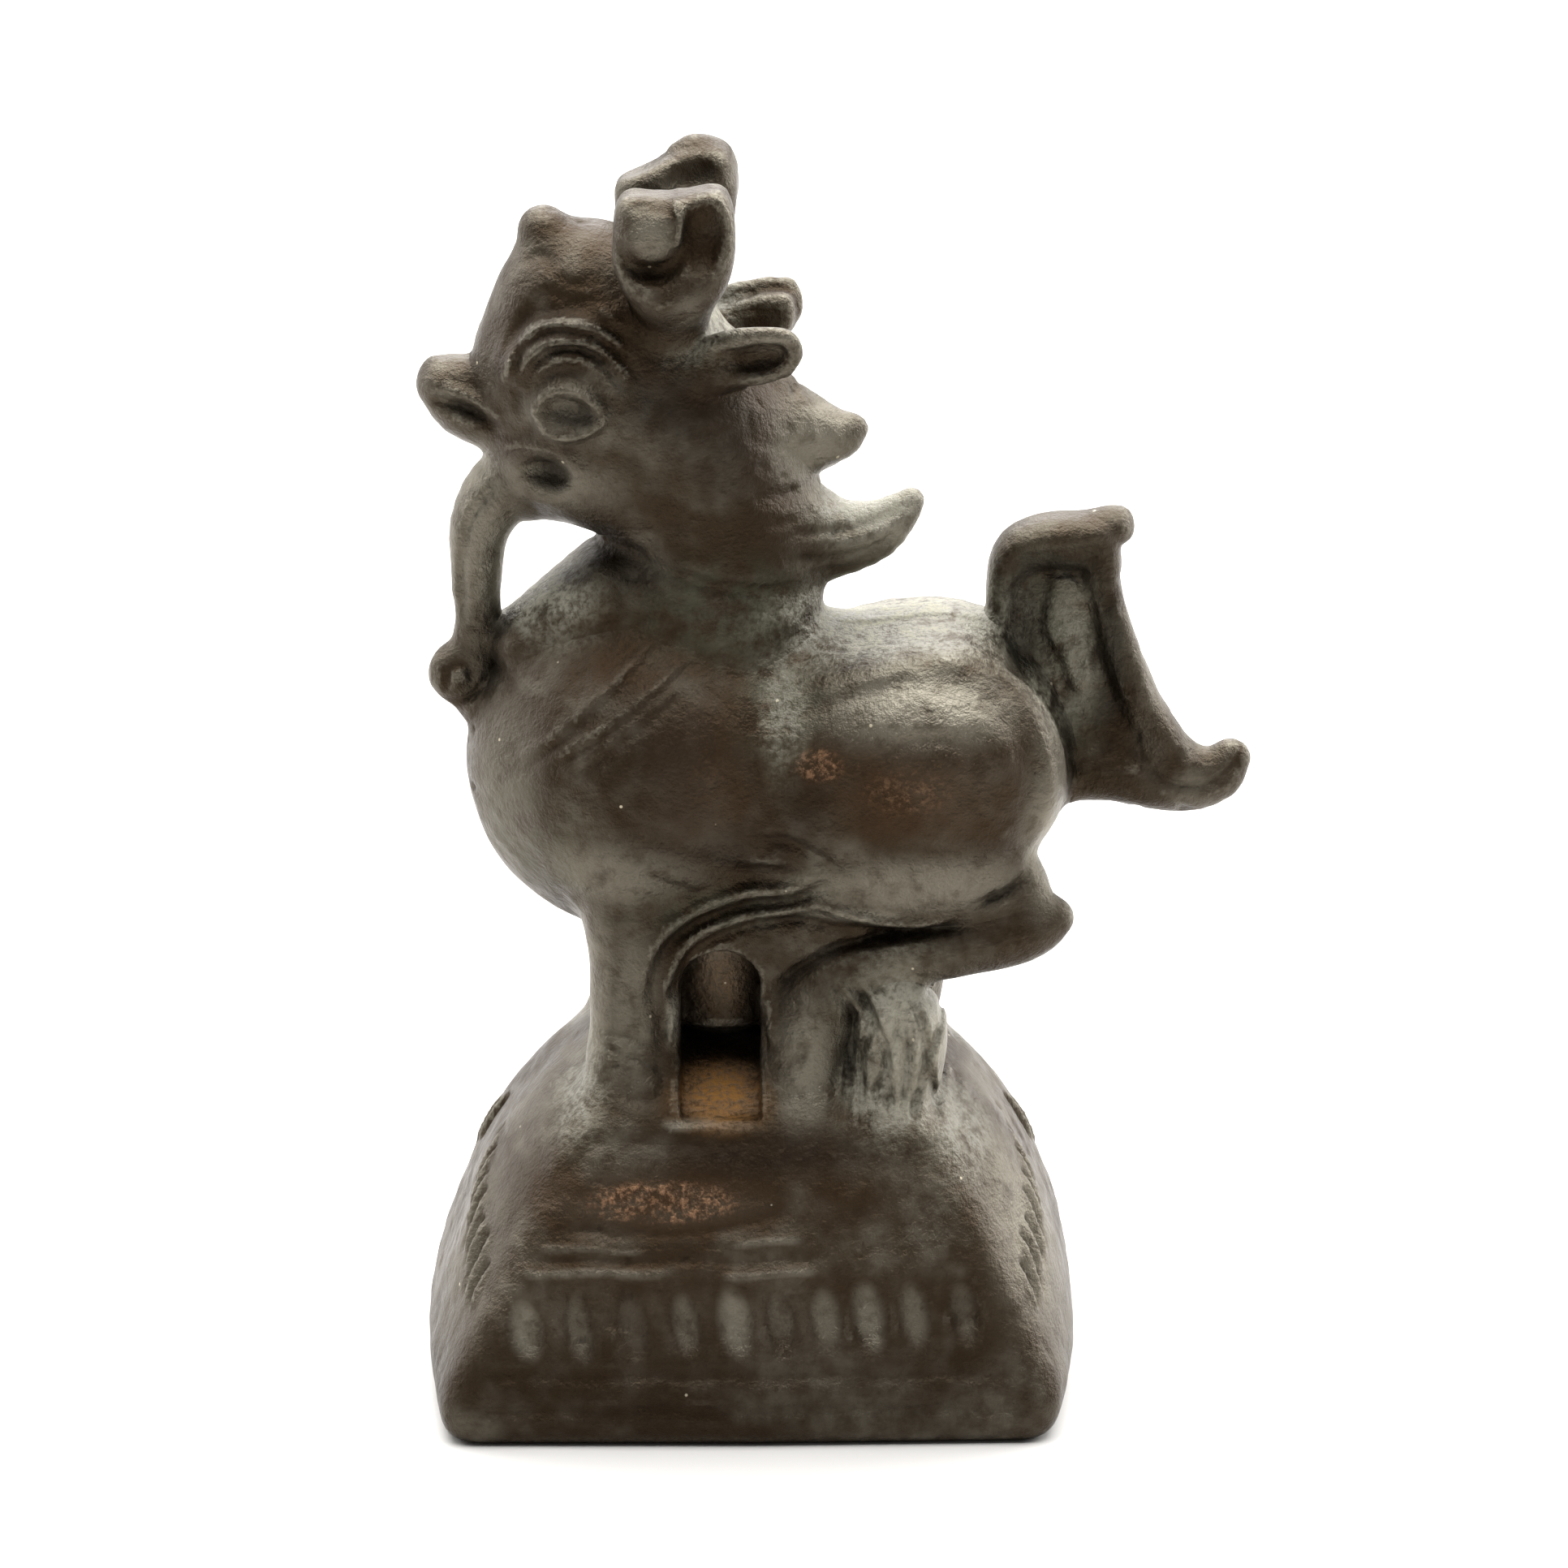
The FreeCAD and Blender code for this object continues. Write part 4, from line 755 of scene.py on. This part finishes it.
# Dark spots, partly soot and partly painted shade: the darkening in the niche's back, in the tail's sunk
# panel and where it meets the rump, behind the beard and in the horn's hollow is painted shade.
SOOT_AND_SHADE_SPOTS = (
    ((-2.2, -3.0, 31.0), (1.7, 1.6, 1.3), 0.8), ((-0.6, -2.6, 29.6), (1.4, 1.4, 1.8), 0.6),
    ((-0.95, -1.6, 11.0), (1.3, 1.2, 0.5), 0.5), ((8.0, -0.8, 23.5), (1.0, 0.9, 2.2), 1.0),
    ((-5.35, -3.1, 30.65), (0.55, 0.8, 0.4), 0.7), ((10.7, -0.8, 22.4), (0.6, 0.9, 3.0), 0.9),
    ((9.0, -0.8, 25.3), (1.7, 0.9, 0.5), 1.0), ((-2.6, -4.2, 20.0), (2.0, 2.0, 2.8), 0.5),
    ((-7.4, 0.0, 23.4), (0.5, 1.2, 1.2), 0.8), ((0.0, -7.8, 2.0), (9.0, 1.6, 1.6), 0.3),
    ((-3.4, -3.0, 25.8), (1.6, 2.6, 0.9), 0.5), ((0.0, -4.6, 17.9), (2.2, 1.8, 0.8), 0.6),
    ((1.6, -4.6, 18.9), (0.9, 1.6, 1.2), 0.5), ((0.6, -6.0, 8.6), (4.0, 1.2, 0.7), 0.8),
    ((-0.4, -3.4, 25.0), (2.6, 1.4, 1.2), 0.45), ((9.0, -1.1, 20.0), (1.0, 0.8, 1.0), 0.6),
    ((-5.6, -2.6, 33.0), (1.4, 1.0, 0.7), 0.6), ((-1.4, -4.2, 36.2), (0.6, 1.2, 0.9), 0.25),
)
# Pale spots, partly paler bloom and dust and partly painted light: the highlight on the haunch's top, the
# sheen on the pedestal's long face, the lit cut corners with the right one brighter, the lighter undersides
# of chest, haunch and belly, and the lit top of the niche's arch.
PALE_AND_HIGHLIGHT_SPOTS = (
    ((9.6, -0.7, 23.8), (0.8, 0.7, 1.4), 0.5), ((9.9, -0.7, 21.8), (0.7, 0.7, 1.2), 0.7),
    ((-7.4, -3.0, 18.6), (1.2, 2.6, 3.6), 0.4), ((-4.6, -4.6, 16.8), (3.0, 1.4, 1.2), 0.6),
    ((5.0, -4.4, 22.0), (3.0, 1.6, 1.3), 1.0), ((8.7, -3.0, 18.0), (0.8, 1.8, 2.8), 0.8),
    ((5.2, -4.4, 16.4), (3.6, 1.4, 1.1), 0.7), ((-4.6, -3.4, 13.0), (0.8, 1.6, 3.6), 0.6),
    ((-5.4, -3.0, 30.7), (1.3, 1.0, 1.1), 0.5), ((-2.9, -3.9, 36.2), (0.7, 0.6, 0.7), 0.7),
    ((-8.6, -4.6, 5.8), (1.5, 2.8, 4.0), 0.35), ((8.4, -4.6, 5.8), (1.5, 2.8, 4.0), 0.6),
    ((-2.4, -3.8, 12.1), (0.25, 1.4, 0.8), 0.9), ((3.0, -4.2, 15.5), (1.6, 1.0, 0.25), 0.9),
    ((0.8, -3.4, 32.9), (1.4, 0.6, 0.25), 0.8), ((1.4, 0.0, 29.2), (1.9, 2.2, 1.3), 1.0),
    ((3.6, 0.0, 26.6), (1.9, 1.8, 1.2), 1.0), ((-7.9, 0.0, 26.4), (1.4, 1.8, 3.2), 0.9),
    ((1.5, -4.6, 11.0), (0.9, 1.4, 2.4), 0.7), ((-2.9, -7.0, 7.1), (2.8, 1.6, 0.5), 0.6),
    ((-5.4, -2.2, 28.4), (1.8, 1.8, 1.0), 0.5), ((-3.6, -4.6, 12.6), (0.9, 1.4, 3.0), 0.5),
    ((-8.4, 0.0, 30.2), (1.2, 1.4, 1.0), 0.4), ((-0.95, -2.4, 13.3), (1.1, 1.2, 1.2), 0.7),
    ((4.5, -4.4, 11.4), (1.7, 2.2, 2.4), 1.0), ((10.2, 0.0, 26.4), (2.8, 2.0, 0.5), 0.15),
    ((12.0, 0.0, 21.4), (0.6, 2.0, 3.2), 0.3), ((-6.6, -1.8, 28.3), (1.3, 1.6, 0.8), 0.5),
)


def spot_strength(points, spots):
    """How strongly a set of soft spots marks each point, alike on both sides of the beast."""
    folded = points * np.array([1.0, 0.0, 1.0]) - np.abs(points) * np.array([0.0, 1.0, 0.0])
    total = np.zeros(len(points))
    for middle, reach, strength in spots:
        away = (((folded - np.array(middle)) / np.array(reach)) ** 2).sum(axis=1)
        total = np.maximum(total, strength * np.exp(-away ** 1.5))
    return total


def box_blur(field, cells):
    """The mean over a small cube round each cell."""
    for axis in range(3):
        size = field.shape[axis]
        total = np.cumsum(field, axis=axis, dtype=np.float64)
        lead = np.minimum(np.arange(size) + cells, size - 1)
        lag = np.maximum(np.arange(size) - cells - 1, -1)
        upper = np.take(total, lead, axis=axis)
        lower = np.take(total, np.maximum(lag, 0), axis=axis)
        shape = [1, 1, 1]
        shape[axis] = size
        lower = lower * (lag >= 0).reshape(shape)
        field = ((upper - lower) / (lead - lag).reshape(shape)).astype(np.float32)
    return field


def lattice_noise(shape, cells, seed):
    """Smooth random waves, with about one swing for each run of cells."""
    counts = [int(math.ceil(size / cells)) + 2 for size in shape]
    field = np.random.default_rng(seed).uniform(-1.0, 1.0, counts).astype(np.float32)
    for axis, size in enumerate(shape):
        at = np.arange(size) / cells
        low = np.floor(at).astype(int)
        share = (at - low).astype(np.float32)
        share = share * share * (3 - 2 * share)
        bend = [1, 1, 1]
        bend[axis] = size
        share = share.reshape(bend)
        field = np.take(field, low, axis=axis) * (1 - share) + np.take(field, low + 1, axis=axis) * share
    return field


def both_sides(left, right):
    """A field over the whole beast from its left half and its right half, mirrored."""
    return np.concatenate([left, right[:, ::-1]], axis=1)


class Casting:
    """The finished skin over both sides, and the skin of each sub-part taken from it."""

    def __init__(self, settings):
        self.settings = settings
        self.voxel = wax.voxel
        far_side = wax.twin(("horn_left",))
        shape_far_side(far_side)
        skin = both_sides(wax.skin, far_side.skin)
        # The underside stays flat: the handwork fades out between 1.4 and 0.6 mm above it.
        away = np.clip((wax.z[None, None, :] - 0.6) / 0.8, 0.0, 1.0)

        def waves(size_mm, seed):
            return lattice_noise(skin.shape, size_mm / self.voxel, seed)

        wobble = waves(2.6, 11) * 0.6
        wobble += waves(0.9, 12) * 0.35
        rough = np.clip(waves(3.0, 15) * 1.2 + 0.45, 0.1, 1.0)
        wobble += waves(0.42, 16) * 0.4 * rough
        skin += settings.wobble * wobble * away
        pits = np.maximum(waves(0.45, 13) - 0.45, 0.0)
        patches = np.clip(waves(4.0, 14) * 1.6, 0.0, 1.0)
        skin += settings.pitting * 3.0 * pits * patches * away
        self.skin = skin
        # A place that stands out from the mean round it is an edge, and a low one is sheltered.
        near = np.clip(skin, -1.6, 1.6)
        self.edge = box_blur(near, 3) - near
        self.shelter = box_blur(box_blur(near, 6), 6) - near
        self.shares = {"left": wax.shares, "right": far_side.shares}
        self.best = {side: self.two_nearest(shares) for side, shares in self.shares.items()}

    def two_nearest(self, shares):
        """The distances to the nearest and the second nearest sub-part of one side."""
        nearest = np.full(wax.skin.shape, FAR, dtype=np.float32)
        second = nearest.copy()
        for share in shares.values():
            second = np.minimum(second, np.maximum(nearest, share))
            nearest = np.minimum(nearest, share)
        return nearest, second

    def claim(self, node, side):
        """A sub-part's claim on each point of one side, below zero where it is the nearest of all."""
        share = self.shares[side][node.replace("_right", "_left")]
        nearest, second = self.best[side]
        return share - np.where(share <= nearest, second, nearest)

    def own(self, node):
        """A sub-part's claim over both sides. A left or right one has none on the other side."""
        none = np.full(wax.skin.shape, FAR, dtype=np.float32)
        left = none if node.endswith("_right") else self.claim(node, "left")
        right = none if node.endswith("_left") else self.claim(node, "right")
        return both_sides(left, right)

    def piece(self, node):
        """The mesh of a sub-part's skin: the shared skin, with a hem that dives under its neighbours."""
        own = self.own(node)
        seam = self.settings.seam
        inside = (own < seam) & (self.skin < 0.1)
        slices = []
        for axis in range(3):
            others = tuple(other for other in range(3) if other != axis)
            used = np.flatnonzero(inside.any(axis=others))
            slices.append(slice(max(used[0] - 3, 0), used[-1] + 4))
        slices = tuple(slices)
        hem = self.settings.dive * np.maximum(own[slices], 0.0)
        field = np.maximum(self.skin[slices] + hem, own[slices] - seam)
        grid = openvdb.FloatGrid(FAR)
        grid.copyFromArray(np.ascontiguousarray(field))
        points, quads = grid.convertToQuads(0.0)
        whole = points + np.array([part.start for part in slices])
        origin = np.array([WAX_LOW[0], wax.y[0], WAX_LOW[2]])
        mesh = bpy.data.meshes.new(node + "_skin")
        mesh.vertices.add(len(points))
        mesh.vertices.foreach_set("co", ((whole * self.voxel + origin) * MM).astype(np.float32).ravel())
        mesh.loops.add(quads.size)
        mesh.loops.foreach_set("vertex_index", quads[:, ::-1].astype(np.int32).ravel())
        mesh.polygons.add(len(quads))
        mesh.polygons.foreach_set("loop_start", np.arange(0, quads.size, 4, dtype=np.int32))
        mesh.polygons.foreach_set("use_smooth", np.ones(len(quads), dtype=bool))
        mesh.update(calc_edges=True)
        mesh.validate()
        self.mark(mesh, whole, whole * self.voxel + origin)
        return mesh

    def mark(self, mesh, cells, places):
        """Gives each vertex what the material needs to know about its place."""
        near = tuple(np.clip(np.rint(cells).astype(int), 0, np.array(self.skin.shape) - 1).T)
        x, y, z = places.T
        stamped = sum(tone * stamp_shape(x, z, number) for number, (_, _, tone) in enumerate(STAMPS))
        proud = np.clip(-face_relief(x, z) / 0.08, 0.0, 1.0)
        face_tone = np.maximum(1.1 * stamped, 0.6 * proud)
        on_face = np.clip((np.abs(y) - 4.6) / 0.5, 0.0, 1.0) * (z < 9.6)
        # The spot maps are partly painted light: the wear spots also paint a copper sheen and reflected
        # light, the ochre spots light on the niche's floor, the dark spots shade in recesses, and the pale
        # spots highlights and sheen. Edge and shelter drive the painted shade in creases.
        values = {
            "edge": np.clip(self.edge[near] / 0.12, -1.0, 1.0),
            "shelter": np.clip(self.shelter[near] / 0.5, -1.0, 1.0),
            "rubbed": spot_strength(places, RUBBED_AND_SHEEN_SPOTS),
            "dusty": spot_strength(places, DUSTY),
            "greenish": spot_strength(places, GREENISH),
            "earthy": spot_strength(places, LIT_OCHRE_SPOTS),
            "sooty": spot_strength(places, SOOT_AND_SHADE_SPOTS),
            "pale": np.maximum(spot_strength(places, PALE_AND_HIGHLIGHT_SPOTS), on_face * face_tone),
        }
        for name, value in values.items():
            layer = mesh.attributes.new(name, "FLOAT", "POINT")
            layer.data.foreach_set("value", value.astype(np.float32))


def linear(hexa):
    """An sRGB hex colour as linear red, green, blue and full alpha."""
    parts = [int(hexa[at:at + 2], 16) / 255 for at in (0, 2, 4)]
    light = [part / 12.92 if part <= 0.04045 else ((part + 0.055) / 1.055) ** 2.4 for part in parts]
    return (*light, 1.0)


def add_node(tree, kind, settings=None, inputs=None):
    """Adds a node, sets its properties, and sets or links its inputs."""
    node = tree.nodes.new(kind)
    for name, value in (settings or {}).items():
        setattr(node, name, value)
    for name, value in (inputs or {}).items():
        socket = node.inputs[name]
        if isinstance(value, bpy.types.NodeSocket):
            tree.links.new(value, socket)
        else:
            socket.default_value = value
    return node


def blank_material(name):
    """A material with an empty node tree."""
    material = bpy.data.materials.new(name)
    material.use_nodes = True
    material.node_tree.nodes.clear()
    return material


def cast_bronze(finish):
    """Lost-wax cast bronze under an old brown-black patina.

    It reads as a dark satin skin with a grey bloom in patches and lighter raised edges, warm brown where
    hands have rubbed it, with dry dust where it can settle. Its near-black creases and recesses are painted
    shade, and some pale, warm and ochre spots paint highlights, sheen and light falling into the niche.
    """
    material = blank_material("lost_wax_bronze_old_patina")
    tree = material.node_tree
    place = add_node(tree, "ShaderNodeTexCoord").outputs["Object"]

    def waves(size_mm, detail, roughness=0.6):
        """Noise whose patches are about size_mm across."""
        settings = {"Vector": place, "Scale": 1.0 / (size_mm * MM), "Detail": detail, "Roughness": roughness}
        return add_node(tree, "ShaderNodeTexNoise", None, settings).outputs["Fac"]

    def mark(name):
        return add_node(tree, "ShaderNodeAttribute", {"attribute_name": name}).outputs["Fac"]

    def ramp(value, low, high, out_low=0.0, out_high=1.0):
        settings = {"Value": value, "From Min": low, "From Max": high, "To Min": out_low, "To Max": out_high}
        kind = {"interpolation_type": "SMOOTHSTEP"}
        return add_node(tree, "ShaderNodeMapRange", kind, settings).outputs["Result"]

    def maths(kind, first, second):
        return add_node(tree, "ShaderNodeMath", {"operation": kind, "use_clamp": kind != "ADD"},
                        {0: first, 1: second}).outputs["Value"]

    def mix(share, under, over):
        over = linear(over) if isinstance(over, str) else over
        under = linear(under) if isinstance(under, str) else under
        node = add_node(tree, "ShaderNodeMix", {"data_type": "RGBA"}, {0: share, 6: under, 7: over})
        return node.outputs[2]

    edge, shelter = mark("edge"), mark("shelter")
    blotch, mottle, grain = waves(3.2, 3.0), waves(0.7, 4.0), waves(0.2, 4.0, 0.7)
    # Grey bloom lies in broad patches; the pale spots are partly paler bloom and partly painted highlight and
    # sheen, and raised edges are lighter.
    bloom = maths("MULTIPLY", ramp(blotch, 0.4, 0.68), ramp(mottle, 0.3, 0.7, 0.1, 0.4))
    pale = maths("MULTIPLY", mark("pale"), ramp(mottle, 0.25, 0.6, 0.3, 1.0))
    high = maths("MULTIPLY", ramp(edge, 0.1, 0.9), ramp(grain, 0.3, 0.65, 0.15, 0.6))
    colour = mix(maths("MAXIMUM", maths("MAXIMUM", bloom, pale), high), finish.patina, finish.bloom)
    # Rubbing shows as warm brown on the spots that hands reach. With the copper grains below, the same spots
    # paint a copper sheen on the pedestal's long face and reflected light under the niche's arch.
    worn_and_sheen = maths("MULTIPLY", mark("rubbed"), ramp(mottle, 0.25, 0.62, 0.4, 1.0))
    colour = mix(worn_and_sheen, colour, finish.rubbed)
    bare_and_sheen = maths("MULTIPLY", ramp(mark("rubbed"), 0.7, 0.95), ramp(grain, 0.45, 0.66, 0.0, 0.8))
    colour = mix(bare_and_sheen, colour, finish.copper)
    green = maths("MULTIPLY", mark("greenish"), ramp(mottle, 0.35, 0.62))
    colour = mix(maths("MULTIPLY", green, 0.6), colour, finish.verdigris)
    # Creases and recesses are darkened nearly to black as painted shade, and the dark spots darken some
    # places more broadly, partly as soot and partly as painted shade in recesses.
    crease = maths("MAXIMUM", maths("MULTIPLY", ramp(edge, -0.3, -1.0), 0.6),
                   maths("MULTIPLY", ramp(shelter, -0.15, -0.9), 0.8))
    # The dark spots are partly soot and partly painted shade in recesses.
    soot_and_shade_share = maths("MULTIPLY", mark("sooty"), ramp(mottle, 0.2, 0.6, 0.5, 1.0))
    colour = mix(maths("MULTIPLY", maths("MAXIMUM", crease, soot_and_shade_share), 0.7), colour, finish.crevice)
    # Dust lies on what faces up, in the dusty places, broken by the mottle.
    normal = add_node(tree, "ShaderNodeNewGeometry").outputs["Normal"]
    facing = add_node(tree, "ShaderNodeSeparateXYZ", None, {"Vector": normal}).outputs["Z"]
    up = ramp(facing, -0.5, 0.6, 0.15, 1.0)
    settled = maths("MULTIPLY", maths("MULTIPLY", mark("dusty"), up), ramp(grain, 0.35, 0.6, 0.3, 1.0))
    settled = maths("MULTIPLY", settled, ramp(mottle, 0.3, 0.58, 0.15, 1.0))
    colour = mix(settled, colour, finish.dust)
    # Ochre on the niche's floor, painted brighter where light falls on it.
    lit_ochre = maths("MULTIPLY", mark("earthy"), ramp(grain, 0.35, 0.6, 0.35, 1.0))
    colour = mix(lit_ochre, colour, finish.ochre)
    # Mineral grains that catch the light are about 0.1 mm across and 1.6 mm apart.
    cells = add_node(tree, "ShaderNodeTexVoronoi", None, {"Vector": place, "Scale": 1.0 / (1.6 * MM)})
    speck = ramp(cells.outputs["Distance"], 0.04, 0.025)
    colour = mix(maths("MULTIPLY", speck, 0.6), colour, finish.speck)
    dull = maths("MAXIMUM", settled, lit_ochre)
    rough = maths("MAXIMUM", ramp(mottle, 0.2, 0.8, finish.gloss - 0.08, finish.gloss + 0.14),
                  maths("MULTIPLY", maths("MAXIMUM", dull, crease), 0.95))
    metal = ramp(dull, 0.5, 0.0, 0.0, 0.9)
    # The grain of the clay mould, about 0.2 mm, over a softer unevenness.
    rise = maths("ADD", maths("MULTIPLY", grain, 0.7), maths("MULTIPLY", mottle, 0.3))
    bump = add_node(tree, "ShaderNodeBump", None, {"Height": rise, "Distance": 0.16 * MM, "Strength": 0.8})
    shader = add_node(tree, "ShaderNodeBsdfPrincipled", None, {
        "Base Color": colour, "Metallic": metal, "Roughness": rough, "Normal": bump.outputs["Normal"]})
    add_node(tree, "ShaderNodeOutputMaterial", None, {"Surface": shader.outputs["BSDF"]})
    return material


def paper(colour):
    """Matt white paper, which gives a clean ground and a faint warm bounce."""
    material = blank_material("matt_paper")
    tree = material.node_tree
    place = add_node(tree, "ShaderNodeTexCoord").outputs["Object"]
    fibre = add_node(tree, "ShaderNodeTexNoise", None, {
        "Vector": place, "Scale": 1.0 / (2.0 * MM), "Detail": 3.0})
    bump = add_node(tree, "ShaderNodeBump", None, {"Height": fibre.outputs["Fac"], "Distance": 0.02 * MM})
    shader = add_node(tree, "ShaderNodeBsdfPrincipled", None, {
        "Base Color": linear(colour), "Roughness": 0.9, "Normal": bump.outputs["Normal"]})
    add_node(tree, "ShaderNodeOutputMaterial", None, {"Surface": shader.outputs["BSDF"]})
    return material


# Soft boxes: name, place, aim, width and power.
BOXES = (
    ("top_box", (0, 70, 300), (0, 0, 15), 440, 4200),
    ("back_box", (0, 320, 190), (0, 0, 20), 260, 900),
    ("left_box", (-250, 150, 120), (0, 0, 14), 200, 650),
    ("right_box", (250, 150, 120), (0, 0, 14), 200, 1100),
)


def soft_light(name, place, aim, size, power):
    """A square white soft box that points at a place. Lengths are in millimetres, power in milliwatts."""
    light = bpy.data.lights.new(name, "AREA")
    light.size = size * MM
    light.energy = power * MM
    lamp = bpy.data.objects.new(name, light)
    lamp.location = Vector(place) * MM
    lamp.rotation_euler = (Vector(aim) - Vector(place)).to_track_quat("-Z", "Y").to_euler()
    bpy.context.scene.collection.objects.link(lamp)


def set_stage(settings):
    """Paper floor, soft boxes above, behind and to the sides, and the camera."""
    scene = bpy.context.scene
    reach = 0.6
    mesh = bpy.data.meshes.new("paper_floor")
    mesh.from_pydata([(-reach, -reach, 0.0), (reach, -reach, 0.0), (reach, reach, 0.0), (-reach, reach, 0.0)],
                     [], [(0, 1, 2, 3)])
    floor = bpy.data.objects.new("paper_floor", mesh)
    scene.collection.objects.link(floor)
    mesh.materials.append(paper(settings.floor))
    for box in BOXES:
        soft_light(*box)
    world = bpy.data.worlds.new("white_room")
    scene.world = world
    world.use_nodes = True
    world.node_tree.nodes["Background"].inputs["Color"].default_value = linear("ffffff")
    world.node_tree.nodes["Background"].inputs["Strength"].default_value = settings.room
    camera = bpy.data.cameras.new("camera")
    camera.lens = settings.lens
    camera.sensor_width = 36.0
    camera.clip_start = 0.01
    eye = bpy.data.objects.new("camera", camera)
    lift = math.radians(settings.elevation)
    aim = Vector(settings.aim)
    place = aim + Vector((0.0, -math.cos(lift), math.sin(lift))) * settings.distance
    eye.location = place * MM
    eye.rotation_euler = (aim - place).to_track_quat("-Z", "Y").to_euler()
    scene.collection.objects.link(eye)
    scene.camera = eye
    scene.view_settings.view_transform = "Standard"


def cast_pieces(scene):
    """Makes every sub-part's skin and lets it stand for its node."""
    casting = Casting(scene.weight_wax)
    bronze = cast_bronze(scene.weight_finish)
    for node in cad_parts:
        piece = bpy.data.objects.new(node + "_skin", casting.piece(node))
        scene.collection.objects.link(piece)
        piece.data.materials.append(bronze)
        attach(piece, "root")
        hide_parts(node)


class WEIGHT_OT_pedestal(bpy.types.Operator):
    """Presses the bell-shaped pedestal and scores its lines, stamps and hatching"""
    bl_idname = "weight.pedestal"
    bl_label = "Pedestal"

    def execute(self, context):
        press_pedestal(context.scene.weight_pedestal)
        return {"FINISHED"}


class WEIGHT_OT_body(bpy.types.Operator):
    """Presses the trunk, the web under the belly and the two haunches"""
    bl_idname = "weight.body"
    bl_label = "Body"

    def execute(self, context):
        press_block()
        press_trunk()
        press_thighs()
        return {"FINISHED"}


class WEIGHT_OT_legs(bpy.types.Operator):
    """Presses the legs and their tufts, then scoops the niche between them"""
    bl_idname = "weight.legs"
    bl_label = "Legs"

    def execute(self, context):
        press_forelegs()
        press_hindlegs()
        scoop_niches()
        return {"FINISHED"}


class WEIGHT_OT_neck(bpy.types.Operator):
    """Presses the neck and the locks of the mane"""
    bl_idname = "weight.neck"
    bl_label = "Neck and mane"

    def execute(self, context):
        press_neck()
        return {"FINISHED"}


class WEIGHT_OT_head(bpy.types.Operator):
    """Presses the head, nose, forehead knob and eyes, and the beard below them"""
    bl_idname = "weight.head"
    bl_label = "Head"

    def execute(self, context):
        press_head()
        press_beard()
        return {"FINISHED"}


class WEIGHT_OT_horns(bpy.types.Operator):
    """Presses the cupped horns with their pearls, and the ears"""
    bl_idname = "weight.horns"
    bl_label = "Horns and ears"

    def execute(self, context):
        press_horns()
        press_ears()
        return {"FINISHED"}


class WEIGHT_OT_tail(bpy.types.Operator):
    """Presses the tail's leaf, hook and curl"""
    bl_idname = "weight.tail"
    bl_label = "Tail"

    def execute(self, context):
        press_tail()
        return {"FINISHED"}


class WEIGHT_OT_cast(bpy.types.Operator):
    """Casts the wax in bronze, one skin for each sub-part"""
    bl_idname = "weight.cast"
    bl_label = "Cast in bronze"

    def execute(self, context):
        cast_pieces(context.scene)
        return {"FINISHED"}


class WEIGHT_OT_stage(bpy.types.Operator):
    """Sets the floor, the lights and the camera"""
    bl_idname = "weight.stage"
    bl_label = "Stage"

    def execute(self, context):
        set_stage(context.scene.weight_stage)
        return {"FINISHED"}


STEPS = (WEIGHT_OT_pedestal, WEIGHT_OT_body, WEIGHT_OT_legs, WEIGHT_OT_neck, WEIGHT_OT_head, WEIGHT_OT_horns,
         WEIGHT_OT_tail, WEIGHT_OT_cast, WEIGHT_OT_stage)
SETTINGS = {"weight_pedestal": PedestalSettings, "weight_wax": WaxSettings, "weight_finish": FinishSettings,
            "weight_stage": StageSettings}


class WEIGHT_PT_sidebar(bpy.types.Panel):
    """Lists the steps and the settings in the sidebar"""
    bl_idname = "WEIGHT_PT_sidebar"
    bl_label = "Cast bronze weight"
    bl_space_type = "VIEW_3D"
    bl_region_type = "UI"
    bl_category = "Weight"

    def draw(self, context):
        for step in STEPS:
            self.layout.operator(step.bl_idname)
        for name, group in SETTINGS.items():
            box = self.layout.box()
            for setting in group.__annotations__:
                box.prop(getattr(context.scene, name), setting)


def register():
    for group in (*SETTINGS.values(), *STEPS, WEIGHT_PT_sidebar):
        bpy.utils.register_class(group)
    for name, group in SETTINGS.items():
        setattr(bpy.types.Scene, name, PointerProperty(type=group))


def unregister():
    for name in SETTINGS:
        delattr(bpy.types.Scene, name)
    for group in reversed((*SETTINGS.values(), *STEPS, WEIGHT_PT_sidebar)):
        bpy.utils.unregister_class(group)


def main():
    """Runs every step in order."""
    global wax
    register()
    wax = Wax(bpy.context.scene.weight_wax.voxel)
    for step in STEPS:
        group, name = step.bl_idname.split(".")
        getattr(getattr(bpy.ops, group), name)()


if __name__ == "__main__":
    main()
